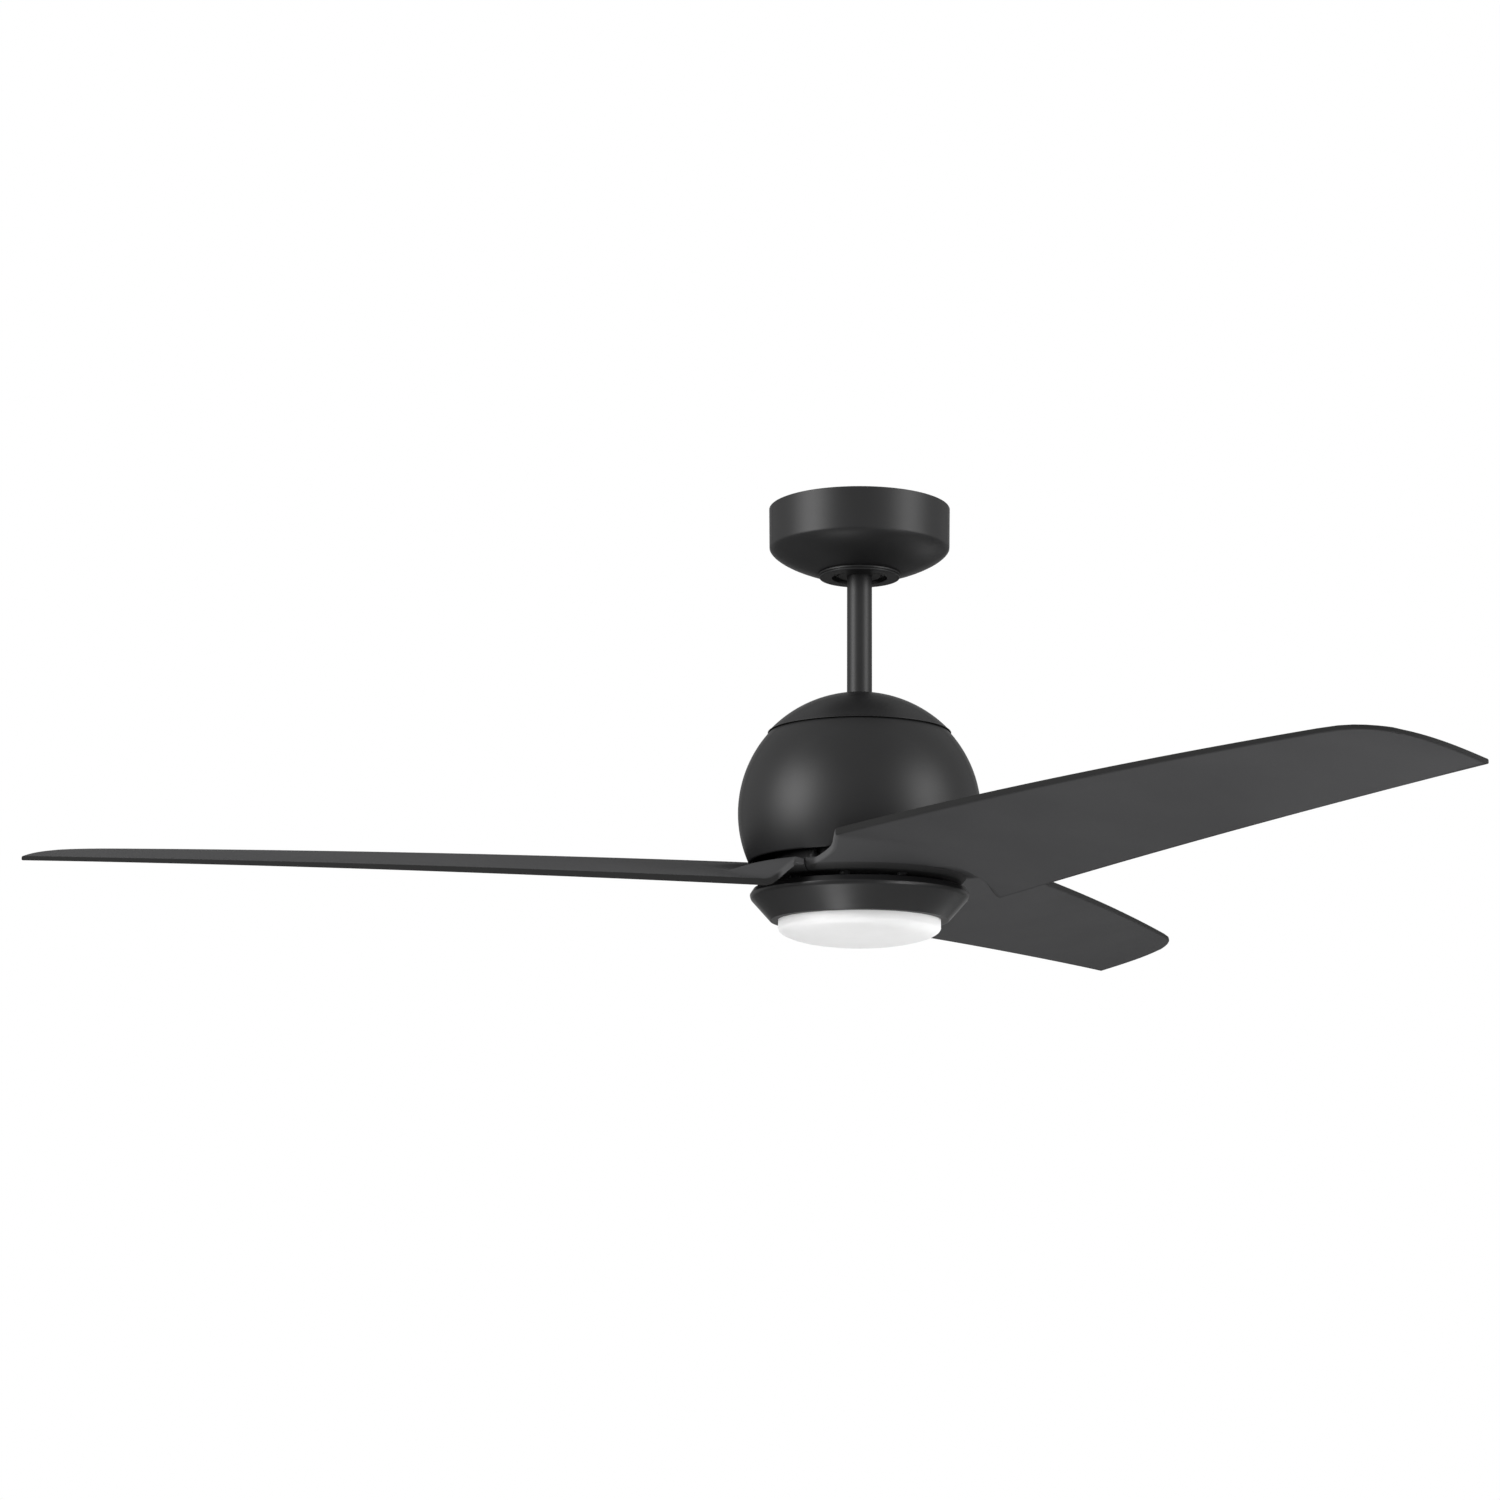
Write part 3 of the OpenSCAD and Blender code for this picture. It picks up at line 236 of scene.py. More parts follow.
def black_powder(name, smooth, rough):
    """Black powder paint, whose fine grain takes the sheen away where it is seen edge on."""
    made, tree, shader = material(name)
    powder = grained(tree, shader, 0.45 * mm, 0.02 * mm)
    dark, light = (0.0075, 0.0075, 0.0078), (0.01, 0.01, 0.0103)
    shades(tree, powder.outputs["Mottle"], dark, light, shader.inputs["Base Color"])
    between(tree, powder.outputs["Speck"], smooth, rough, shader.inputs["Roughness"])
    edge_on = node(tree, "ShaderNodeLayerWeight", Blend=0.5).outputs["Facing"]
    sheen = node(
        tree, "ShaderNodeMapRange", Value=edge_on, From_Min=0.3, From_Max=0.75, To_Min=0.2, To_Max=0.03
    )
    tree.links.new(sheen.outputs["Result"], shader.inputs["Specular IOR Level"])
    return made


black_paint = black_powder("flat_black_paint", 0.43, 0.5)

canopy_wall = 1.2 * mm
canopy_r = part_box("canopy")[1].x
canopy_low_r = canopy_r - 0.4 * mm
canopy_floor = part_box("canopy")[0].z
canopy_side = 34.5 * mm
trim_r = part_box("canopy_trim_ring")[1].x
trim_hole_r = 23.6 * mm
top_edge = 0.6 * mm
corner_start = 0.8 * mm
dome_power, dome_root, dome_spread = 1.35, 1 / 1.6, 1.7


def dome_point(r, cut):
    """A point of the canopy's domed bottom at radius r, on the outer face or cut inside it."""
    full = (-canopy_floor - canopy_side) / (1 - (trim_r / canopy_r) ** dome_power) ** dome_root - cut
    big = canopy_low_r - cut
    drop = full * max(0.0, 1 - (min(r, big) / big) ** dome_power) ** dome_root
    return r, max(canopy_floor + cut, -canopy_side - drop)


def dome_points(cut, steps):
    """Points (radius, height) on the domed bottom, from its outer corner in to the trim ring."""
    big = canopy_low_r - cut
    return [dome_point(big - (big - trim_r) * (i / steps) ** dome_spread, cut) for i in range(steps + 1)]


canopy = spun(
    "canopy_shell",
    [
        (canopy_r, -top_edge),
        (canopy_low_r, -canopy_side + corner_start),
        *dome_points(0, 26)[1:],
        (trim_hole_r, canopy_floor),
        (trim_hole_r, canopy_floor + canopy_wall),
        *reversed(dome_points(canopy_wall, 26)[1:]),
        (canopy_low_r - canopy_wall, -canopy_side + corner_start),
        (canopy_r - canopy_wall, -top_edge),
        (canopy_r - canopy_wall + 0.3 * mm, 0),
        (canopy_r - 0.3 * mm, 0),
    ],
    160,
)
soften(canopy, 0.35 * mm, 40)
fit(canopy, black_paint, "black_sheet", "ceiling", "canopy")


# ---- Trim ring ----
# The pressed ring that clips over the canopy's floor and hides its screws, with a fine groove around
# its side. Painted like the canopy.

trim_low, trim_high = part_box("canopy_trim_ring")
groove_top, groove_deep, groove_low = 1.5 * mm, 1.8 * mm, 2.3 * mm
trim_foot_in, trim_corner_in, trim_corner, hole_corner = 0.8 * mm, 1.7 * mm, 0.9 * mm, 0.5 * mm
trim_floor = 1.1 * mm
trim_ring = spun(
    "trim_ring",
    [
        (trim_r, trim_high.z),
        (trim_r, trim_high.z - groove_top),
        (trim_r - groove_top, trim_high.z - groove_deep),
        (trim_r - trim_foot_in, trim_high.z - groove_low),
        *arc((trim_r - trim_corner_in, trim_low.z + trim_corner), trim_corner, 0, -90, 5),
        *arc((trim_hole_r + hole_corner, trim_low.z + hole_corner), hole_corner, -90, -180, 4),
        (trim_hole_r, trim_high.z),
        (trim_hole_r + canopy_wall, trim_high.z),
        (trim_hole_r + canopy_wall, trim_low.z + trim_floor),
        (trim_r - canopy_wall, trim_low.z + trim_floor),
        (trim_r - canopy_wall, trim_high.z),
    ],
)
soften(trim_ring, 0.2 * mm, 50, 2)
fit(trim_ring, black_paint, "black_sheet", "ceiling", "canopy_trim_ring")


# ---- Hanger bracket and its screws ----
# The bracket that carries the fan is pressed from zinc plated steel sheet, with a green ground screw.
# Its screws, and most of the fan's small hardware, have the same bright zinc plating.

zinc = surface(
    "zinc_plating",
    size=0.7 * mm,
    height=0.01 * mm,
    mottle_size=0.012,
    dark=(0.42, 0.43, 0.44),
    light=(0.6, 0.6, 0.58),
    smooth=0.3,
    rough=0.42,
    metallic=1.0,
)

green_paint = surface(
    "green_ground_screw",
    size=0.6 * mm,
    height=0.01 * mm,
    mottle_size=0.004,
    dark=(0.02, 0.2, 0.06),
    light=(0.04, 0.3, 0.1),
    smooth=0.35,
    rough=0.45,
    Coat_Weight=0.3,
)


def finish_nodes(finish, *names):
    """Gives CAD nodes a finish."""
    for name in names:
        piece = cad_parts[name]
        piece.data.materials.clear()
        piece.data.materials.append(finish)


finish_nodes(zinc, "hanger_bracket", "canopy_screws", "ball_pin", "motor_coupling", "coupling_pin")
finish_nodes(zinc, "coupling_clip", "coupling_set_screws", "housing_screws", "rotor_ring")
finish_nodes(zinc, "light_plate", "shaft_nut", "light_screws", "led_screws")
finish_nodes(green_paint, "ground_screw")


# ---- Receiver ----
# The remote control's receiver, a black moulded box with sockets for the wires. It lies on two small
# ledges between the bracket's legs.

black_plastic = surface(
    "black_moulded_plastic",
    size=0.35 * mm,
    height=0.02 * mm,
    mottle_size=0.03,
    dark=(0.017, 0.017, 0.018),
    light=(0.024, 0.024, 0.025),
    smooth=0.42,
    rough=0.55,
    Specular_IOR_Level=0.45,
)
finish_nodes(black_plastic, "receiver")


# ---- Hanger ball and pin ----
# The ball that the whole fan hangs by is moulded from glass filled nylon. It slides onto the rod and
# rests on a steel pin that crosses them both.

dull_nylon = surface(
    "dull_black_nylon",
    size=0.5 * mm,
    height=0.02 * mm,
    mottle_size=0.02,
    dark=(0.006, 0.006, 0.006),
    light=(0.009, 0.009, 0.009),
    smooth=0.55,
    rough=0.7,
    Specular_IOR_Level=0.12,
)
finish_nodes(dull_nylon, "hanger_ball")


# ---- Downrod ----
# Half inch steel pipe, drilled across for the pin of the ball at its top and the pin of the coupling
# at its foot. It has the same matte black paint as the housing.

rod_low, rod_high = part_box("downrod")
rod_r = rod_high.x
rod_wall = 2.8 * mm
rod_in_r = rod_r - rod_wall
pin_play = 0.05 * mm
clevis_hole_r = 2.55 * mm
pin_low, pin_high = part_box("ball_pin")
clevis_low, clevis_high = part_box("coupling_pin")
hole_bands = [clevis_low.z - mm, clevis_high.z + mm, pin_low.z - mm, pin_high.z + mm]
rod = spun(
    "rod",
    [
        (rod_r, rod_low.z),
        *((rod_r, z) for z in hole_bands),
        (rod_r, rod_high.z),
        (rod_in_r, rod_high.z),
        *((rod_in_r, z) for z in reversed(hole_bands)),
        (rod_in_r, rod_low.z),
    ],
    96,
)


def drill(piece, radius, height):
    """Cuts a round hole across a piece along X, at that height."""
    deselect()
    bpy.ops.mesh.primitive_cylinder_add(
        vertices=48, radius=radius, depth=0.2, location=(0, 0, height), rotation=(0, math.pi / 2, 0)
    )
    cutter = bpy.context.object
    modify(piece, "BOOLEAN", object=cutter, operation="DIFFERENCE", solver="EXACT")
    bpy.data.objects.remove(cutter)


drill(rod, (pin_high.z - pin_low.z) / 2 + pin_play, (pin_high.z + pin_low.z) / 2)
drill(rod, clevis_hole_r, (clevis_high.z + clevis_low.z) / 2)
soften(rod, 0.35 * mm, 50, 2)
fit(rod, black_paint, "black_rod", "pendant", "downrod")


# ---- Grommet and wires ----
# A rubber grommet in the rod's top keeps the two wires off its edge. One wire is black and the other
# white, both with a glossy sleeve.

rubber = surface(
    "moulded_rubber",
    size=0.5 * mm,
    height=0.03 * mm,
    mottle_size=0.01,
    dark=(0.014, 0.014, 0.014),
    light=(0.024, 0.023, 0.022),
    smooth=0.6,
    rough=0.8,
    Specular_IOR_Level=0.3,
)
finish_nodes(rubber, "rod_grommet", "blade_gaskets")

sleeve, tree, shader = material("wire_sleeve")
sleeve_skin = grained(tree, shader, 0.9 * mm, 0.01 * mm, 0.02)
side = node(tree, "ShaderNodeSeparateXYZ", Vector=node(tree, "ShaderNodeTexCoord").outputs["Object"])
black_to_white = 400.0
which = node(
    tree, "ShaderNodeMath", {"operation": "MULTIPLY_ADD"}, _0=side.outputs["Y"], _1=black_to_white, _2=0.5
)
shades(tree, which.outputs[0], (0.02, 0.02, 0.02), (0.75, 0.75, 0.72), shader.inputs["Base Color"])
between(tree, sleeve_skin.outputs["Speck"], 0.3, 0.4, shader.inputs["Roughness"])
finish_nodes(sleeve, "lead_wires")


# ---- Ball cap ----
# The shallow cap that slides down the rod onto the round housing and closes it. Spun steel, painted
# with the housing, with a rolled rim that stands proud of the seam.

cap_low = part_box("ball_cap")[0]
cap_h = 34.7 * mm
cap_wall = 1.2 * mm
cap_rim_r = 77.8 * mm
cap_ball_r = (cap_rim_r**2 + cap_h**2) / (2 * cap_h)
cap_centre = cap_low.z + cap_h - cap_ball_r
cap_hole_r = rod_r + 0.55 * mm
rim_top, rim_side, rim_inside = 1.1 * mm, 0.6 * mm, 0.8 * mm
rim_round, rim_roll = 0.3 * mm, 0.4 * mm


def ball_points(radius, centre, first_r, last_z, steps):
    """Points (radius, height) down a ball from the ring of radius first_r to the height last_z."""
    first = math.acos(first_r / radius)
    last = math.asin((last_z - centre) / radius)
    turns = [first + (last - first) * i / steps for i in range(steps + 1)]
    return [(radius * math.cos(a), centre + radius * math.sin(a)) for a in turns]


cap = spun(
    "housing_cap",
    [
        *ball_points(cap_ball_r, cap_centre, cap_hole_r, cap_low.z + rim_top, 40),
        (cap_rim_r, cap_low.z + rim_side),
        (cap_rim_r - rim_round, cap_low.z),
        (cap_rim_r - cap_wall - rim_roll, cap_low.z),
        *reversed(ball_points(cap_ball_r - cap_wall, cap_centre, cap_hole_r, cap_low.z + rim_inside, 40)),
    ],
    160,
)
soften(cap, 0.3 * mm, 35)
fit(cap, black_paint, "black_sheet", "pendant", "ball_cap")


# ---- Round housing ----
# The spun steel ball around the motor, open at the bottom where the blades turn. Its flat top is
# screwed up against the coupling's flange, and its bottom edge is rolled in a little.

shell_low, shell_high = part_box("motor_housing")
shell_r = 102.4 * mm
shell_wall = 1.5 * mm
deck_r = 76.4 * mm
shell_centre = shell_high.z - math.sqrt(shell_r**2 - deck_r**2)
deck_hole_r = 15.1 * mm
deck_edge, shoulder_edge, inner_edge = 0.9 * mm, 0.5 * mm, 1.2 * mm
lip = 1.8 * mm
lip_lean, lip_overlap = 24, 11
lip_low = shell_low.z + 1 * mm
lip_from = lip_low + lip * (1 - math.sin(math.radians(lip_lean)))
inner_end = lip_low + 2.3 * lip
lip_middle = math.sqrt(shell_r**2 - (lip_from - shell_centre) ** 2) - lip * math.cos(math.radians(lip_lean))

shell = spun(
    "motor_shell",
    [
        (deck_hole_r, shell_high.z),
        (deck_r - deck_edge, shell_high.z),
        *ball_points(shell_r, shell_centre, deck_r + shoulder_edge, lip_from, 72),
        *arc((lip_middle, lip_low + lip), lip, -lip_lean - lip_overlap, -180, 12),
        *reversed(ball_points(shell_r - shell_wall, shell_centre, deck_r - inner_edge, inner_end, 72)),
        (deck_hole_r, shell_high.z - shell_wall),
    ],
    192,
)


def around(radius, turns):
    """Places (x, y) on a circle, at turns in degrees."""
    return [(radius * math.cos(math.radians(a)), radius * math.sin(math.radians(a))) for a in turns]


def drill_down(piece, radius, places, height):
    """Cuts upright round holes at places (x, y)."""
    for x, y in places:
        deselect()
        bpy.ops.mesh.primitive_cylinder_add(vertices=40, radius=radius, depth=0.02, location=(x, y, height))
        cutter = bpy.context.object
        modify(piece, "BOOLEAN", object=cutter, operation="DIFFERENCE", solver="EXACT")
        bpy.data.objects.remove(cutter)


flange_screw_circle, flange_hole_r = 28 * mm, 2.6 * mm
drill_down(shell, flange_hole_r, around(flange_screw_circle, (90, 210, 330)), shell_high.z)
soften(shell, 0.3 * mm, 38, 2)
fit(shell, black_paint, "black_sheet", "pendant", "motor_housing")


# ---- Motor ----
# A motor whose outside turns: coils on a laminated steel stator, fixed to the hollow shaft, inside a
# ring of ferrite magnets between two black cast shields that run on two ball bearings.

ground_steel = surface(
    "ground_steel",
    size=0.5 * mm,
    height=0.004 * mm,
    mottle_size=0.02,
    dark=(0.46, 0.46, 0.47),
    light=(0.56, 0.56, 0.57),
    smooth=0.18,
    rough=0.28,
    metallic=1.0,
)
finish_nodes(ground_steel, "motor_shaft", "upper_bearing", "lower_bearing")

laminations, tree, shader = material("stacked_laminations", metallic=0.9)
stack_skin = grained(tree, shader, 0.8 * mm, 0.01 * mm, 0.01)
height = node(tree, "ShaderNodeSeparateXYZ", Vector=node(tree, "ShaderNodeTexCoord").outputs["Object"])
per_sheet = math.tau / (1.0 * mm)
sheets = node(tree, "ShaderNodeMath", {"operation": "MULTIPLY"}, _0=height.outputs["Z"], _1=per_sheet)
sheet_wave = node(tree, "ShaderNodeMath", {"operation": "SINE"}, _0=sheets.outputs[0])
half_wave = node(
    tree, "ShaderNodeMath", {"operation": "MULTIPLY_ADD"}, _0=sheet_wave.outputs[0], _1=0.25, _2=0.5
)
shades(tree, half_wave.outputs[0], (0.09, 0.1, 0.11), (0.24, 0.25, 0.27), shader.inputs["Base Color"])
between(tree, stack_skin.outputs["Speck"], 0.35, 0.5, shader.inputs["Roughness"])
finish_nodes(laminations, "stator_core")

winding, tree, shader = material("enamelled_copper", metallic=0.6, Coat_Weight=0.5)
winding_skin = grained(tree, shader, 0.6 * mm, 0.01 * mm, 0.008)
place = node(tree, "ShaderNodeTexCoord").outputs["Object"]
turns = node(tree, "ShaderNodeTexWave", {"bands_direction": "Z"}, Vector=place, Scale=180.0, Distortion=0.6)
shades(tree, turns.outputs["Fac"], (0.2, 0.055, 0.015), (0.5, 0.17, 0.06), shader.inputs["Base Color"])
between(tree, winding_skin.outputs["Speck"], 0.25, 0.4, shader.inputs["Roughness"])
finish_nodes(winding, "stator_windings")

ferrite = surface(
    "ferrite",
    size=0.4 * mm,
    height=0.03 * mm,
    mottle_size=0.006,
    dark=(0.035, 0.036, 0.04),
    light=(0.065, 0.066, 0.07),
    smooth=0.45,
    rough=0.6,
)
finish_nodes(ferrite, "rotor_magnets")

black_casting = surface(
    "black_painted_casting",
    size=0.9 * mm,
    height=0.05 * mm,
    mottle_size=0.015,
    dark=(0.008, 0.008, 0.0085),
    light=(0.013, 0.013, 0.0135),
    smooth=0.45,
    rough=0.6,
    Specular_IOR_Level=0.12,
)
finish_nodes(black_casting, "rotor_upper_shield", "rotor_lower_shield")

black_zinc = surface(
    "black_zinc_plating",
    size=0.6 * mm,
    height=0.01 * mm,
    mottle_size=0.01,
    dark=(0.01, 0.01, 0.0105),
    light=(0.016, 0.016, 0.0165),
    smooth=0.4,
    rough=0.5,
    metallic=0.3,
    Specular_IOR_Level=0.12,
)
finish_nodes(black_zinc, "motor_bolts", "blade_hub", "blade_screws")


# ---- Blades ----
# Three blades, each moulded in one piece from matte black ABS, with shade painted on their rim and a
# highlight painted on the edge beside the collar. A third of the collar under the housing is the blade's
# root, which three screws hold up against the hub, on a rubber gasket.

blade_abs, tree, shader = material("matte_black_abs", Specular_IOR_Level=0.06)
abs_skin = grained(tree, shader, 0.4 * mm, 0.02 * mm, 0.12)
# The rim attribute is 1 for painted shade on the rim, 0 on the faces, and -1 for a painted highlight
# on the edge beside the collar.
rim_mark = node(tree, "ShaderNodeAttribute", {"attribute_name": "rim"})
# A darker tone for the painted shade on the rim, and a paler tone for the painted highlight beside the
# collar.
painted_shade_tone, painted_highlight_tone = (0.015, 0.015, 0.015, 1), (0.058, 0.058, 0.059, 1)
rim_or_face = node(tree, "ShaderNodeMix", {"data_type": "RGBA"}, _0=rim_mark.outputs["Fac"], _7=painted_shade_tone)
shades(tree, abs_skin.outputs["Mottle"], (0.035, 0.035, 0.036), (0.041, 0.041, 0.042), rim_or_face.inputs[6])
# Painted highlight: where the rim attribute is -1, a paler tone stands in for light caught on the edge.
painted_highlight_share = node(tree, "ShaderNodeMath", {"operation": "MULTIPLY"}, _0=rim_mark.outputs["Fac"], _1=-1.0)
all_tones = node(
    tree,
    "ShaderNodeMix",
    {"data_type": "RGBA"},
    _0=painted_highlight_share.outputs[0],
    _6=rim_or_face.outputs[2],
    _7=painted_highlight_tone,
)
tree.links.new(all_tones.outputs[2], shader.inputs["Base Color"])
between(tree, abs_skin.outputs["Speck"], 0.78, 0.88, shader.inputs["Roughness"])

# The blade's shape, in millimetres and degrees: x along it, c across it towards the high leading edge,
# z up, rho from the fan's axis.
collar_r, collar_in_r, flange_in_r = 90.0, 86.0, 57.0
collar_top = shell_low.z / mm - 5.2
collar_edge = collar_top - 1.8
collar_low = collar_top - 6.8
collar_bottom = collar_low - 4.5
flange_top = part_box("blade_gaskets")[0].z / mm
blade_turn = 120
first_blade = 182.5
root_middle = -2.5
half_seam = 0.19
pitch = 13.1
straight_x, straight_l = 110, 530
lead_root, lead_tip, lead_bulge = 74.7, 19.3, 15.2
trail_root, trail_tip = 88.2, 76.2
root_thickness, tip_thickness = 5.5, 3.6
middle_drop, middle_rise, middle_bow = 1.6, 12.9, 7.4
trailing_corner_x = 681.67
tip_round = 65
tip_start = trailing_corner_x - tip_round
tip_power = 2.92

# The root: a flare that steepens towards the leading side, and a soft bend on the trailing side.
flare_slope, flare_power = 1.05, 1.5
flare_start, flare_span = 10, 57.5
bend_start, bend_l, wall_l = 11, 18, 28
flare_mix_start, flare_mix_span = 14, 12
root_back, root_front = -57.5, 47.5
trail_from, lead_from, lead_l = 93.2, 114, 24
corner_turn, corner_l = 9.8, 11
fan_end, fan_l = 136, 54
# Beyond this distance from the axis the blade's edges take painted shade; nearer the collar they take a
# painted highlight.
painted_shade_from = 112


def mix(a, b, t):
    """The value between a and b at share t."""
    return a + (b - a) * t


def ease(t):
    """Goes smoothly from 0 to 1."""
    t = min(1.0, max(0.0, t))
    return t * t * (3 - 2 * t)


def along(x):
    """The share of the blade's straight part that lies within x."""
    return (x - straight_x) / straight_l


def leading(x):
    """The leading edge's distance from the blade's middle line."""
    return mix(lead_root, lead_tip, along(x)) + lead_bulge * along(x) * (1 - along(x))


def trailing(x):
    """The trailing edge's place across the blade, on the low side of its middle line."""
    return -mix(trail_root, trail_tip, along(x))


def thickness(x):
    """The blade's thickness at x."""
    return mix(root_thickness, tip_thickness, min(1.0, max(0.0, along(x))))


def underside(x, c):
    """The blade's lower face: a pitched plane, with a steep flare to the collar on the leading side."""
    out = max(0.0, math.hypot(x, c) - collar_r)
    angle = math.degrees(math.atan2(c, x))
    middle = collar_top - middle_drop + middle_rise * along(x) + middle_bow * along(x) * (1 - along(x))
    plane = middle + math.tan(math.radians(pitch)) * c - thickness(x) / 2
    steep = flare_slope * min(1.0, max(0.0, (angle + flare_start) / flare_span)) ** flare_power
    flare = min(plane, collar_low + steep * out)
    bend = mix(collar_low, plane, ease((out - bend_start) / bend_l))
    return mix(bend, flare, ease((angle + flare_mix_start) / flare_mix_span))


def edge_angle(rho, edge, root_c):
    """Direction of a straight edge at distance rho from the fan's axis."""
    return math.degrees(math.asin(edge(math.sqrt(rho**2 - root_c**2)) / rho))


def root_place(rho, u):
    """A place (x, c) near the collar, from the trailing edge at u = 0 to the leading edge at u = 1."""
    out = rho - collar_r
    first = max(root_back, edge_angle(max(rho, trail_from), trailing, trail_root))
    last = mix(root_front, edge_angle(max(rho, lead_from), leading, lead_root), min(1.0, out / lead_l))
    last = last + corner_turn * max(0.0, 1 - out / corner_l) ** 2
    turn = math.radians(mix(first, last, u))
    straight = min(1.0, max(0.0, (rho - fan_end) / fan_l))
    across = mix(trailing(rho), leading(rho), u)
    return mix(rho * math.cos(turn), rho, straight), mix(rho * math.sin(turn), across, straight)


def tip_edge(turn):
    """A place (x, c) on the rounded end, from the trailing corner at 0 to the leading edge at 90 degrees."""
    x = tip_start + tip_round * math.cos(math.radians(turn)) ** (2 / tip_power)
    low = trailing(trailing_corner_x)
    return x, low + (leading(x) - low) * abs(math.sin(math.radians(turn))) ** (2 / tip_power)


def tip_place(w, u):
    """A place (x, c) on the tip, blended in from its four edges as w goes from 0 to 1 outwards."""
    inner = (tip_start, mix(trailing(tip_start), leading(tip_start), u))
    outer = tip_edge(45 * u)
    back_x = mix(tip_start, trailing_corner_x, w)
    back, front = (back_x, trailing(back_x)), tip_edge(90 - 45 * w)
    corners = [tip_edge(90), tip_edge(0), tip_edge(45), (tip_start, trailing(tip_start))]
    return tuple(
        (1 - w) * inner[i]
        + w * outer[i]
        + (1 - u) * back[i]
        + u * front[i]
        - (1 - w) * u * corners[0][i]
        - w * (1 - u) * corners[1][i]
        - w * u * corners[2][i]
        - (1 - w) * (1 - u) * corners[3][i]
        for i in (0, 1)
    )


# The blade grows in rows, close together where it bends near the collar and at the rounded tip.
root_rows = (91.2, 92.5, 94, 96, 98.5, 101, 103.5, 106, 108.5, 111, 113.5, 116)
root_rows += (119, 122, 127, 136, 154, 172, 190)
straight_rows = 17
tip_rows = (0.2, 0.4, 0.58, 0.73, 0.85, 0.94, 1.0)
blade_rows = [("root", rho) for rho in root_rows]
blade_rows += [("root", mix(root_rows[-1], tip_start, (i + 1) / straight_rows)) for i in range(straight_rows)]
blade_rows += [("tip", w) for w in tip_rows]
collar_columns, blade_columns = 48, 46


def blade_point(row, column, top):
    """The point of the blade's skin in that row and column, in its place on the fan."""
    kind, at = row
    u = column / blade_columns
    x, c = root_place(at, u) if kind == "root" else tip_place(at, u)
    wall = mix(collar_edge - collar_low, thickness(x), ease((math.hypot(x, c) - collar_r) / wall_l))
    z = underside(x, c) + (wall if top else 0)
    turn = math.radians(first_blade)
    y = -c
    return Vector((x * math.cos(turn) - y * math.sin(turn), x * math.sin(turn) + y * math.cos(turn), z)) * mm


def part_ring(name, points, first, sweep, steps):
    """A closed profile (radius, height) spun from the turn first, in degrees, and closed at both ends."""
    piece = drawn_profile(name, [*points, points[0]], math.radians(first))
    bpy.ops.mesh.spin(steps=steps, angle=math.radians(-sweep), center=(0, 0, 0), axis=(0, 0, 1))
    bpy.ops.mesh.select_all(action="SELECT")
    bpy.ops.mesh.remove_doubles(threshold=0.01 * mm)
    bpy.ops.mesh.fill_holes(sides=0)
    bpy.ops.mesh.select_all(action="SELECT")
    bpy.ops.mesh.normals_make_consistent(inside=False)
    bpy.ops.object.mode_set(mode="OBJECT")
    return piece


blade = part_ring(
    "blade_one",
    [
        (flange_in_r * mm, collar_bottom * mm),
        (collar_in_r * mm, collar_bottom * mm),
        (collar_r * mm, collar_low * mm),
        (collar_r * mm, collar_edge * mm),
        (collar_in_r * mm, collar_top * mm),
        (collar_in_r * mm, flange_top * mm),
        (flange_in_r * mm, flange_top * mm),
    ],
    first_blade + root_middle - blade_turn / 2 + half_seam,
    blade_turn - 2 * half_seam,
    collar_columns,
)

# The collar's bevel is marked as rim, for painted shade under the collar. The outer wall's faces are
# numbered by their columns, and grown out row after row into the blade.
mesh = bmesh.new()
mesh.from_mesh(blade.data)
column_of = mesh.verts.layers.int.new("column")
rim_of = mesh.verts.layers.float.new("rim")
for v in mesh.verts:
    if v.co.z < (collar_low + 0.1) * mm and math.hypot(v.co.x, v.co.y) > (collar_in_r - 0.1) * mm:
        v[rim_of] = 0.6 if v.co.z > (collar_bottom + 1) * mm else 1
collar_end = first_blade + root_middle + blade_turn / 2 - half_seam
step = (blade_turn - 2 * half_seam) / collar_columns
wall_faces = []
for face in mesh.faces:
    face.select_set(False)
    centre = face.calc_center_median()
    outside = all(math.hypot(v.co.x, v.co.y) > (collar_r - 0.1) * mm for v in face.verts)
    if outside and abs(face.normal.z) < 0.1:
        turn = math.degrees(math.atan2(centre.y, centre.x)) - collar_end
        if int(-turn % 360 / step) < blade_columns:
            wall_faces.append(face)
for face in wall_faces:
    face.select_set(True)
    for v in face.verts:
        turn = collar_end - math.degrees(math.atan2(v.co.y, v.co.x))
        column = round(((turn + 1) % 360 - 1) / step)
        v[column_of] = 1 + 2 * column + (v.co.z > (collar_edge + collar_low) / 2 * mm)
mesh.to_mesh(blade.data)
mesh.free()

bpy.ops.object.mode_set(mode="EDIT")
bpy.ops.mesh.select_mode(type="FACE")
for row in blade_rows:
    bpy.ops.mesh.extrude_region_move(TRANSFORM_OT_translate={"value": (0, 0, 0)})
    mesh = bmesh.from_edit_mesh(blade.data)
    column_of, rim_of = mesh.verts.layers.int["column"], mesh.verts.layers.float["rim"]
    for v in mesh.verts:
        if v.select:
            column = (v[column_of] - 1) // 2
            v.co = blade_point(row, column, (v[column_of] - 1) % 2 == 1)
            on_edge = column in (0, blade_columns) or row == blade_rows[-1]
            # Painted shade on the outer edges and the tip, and a painted highlight on the edges near the
            # collar.
            edge_tone = 1 if row[0] == "tip" or row[1] > painted_shade_from else -1
            v[rim_of] = edge_tone if on_edge else 0
    bmesh.update_edit_mesh(blade.data)
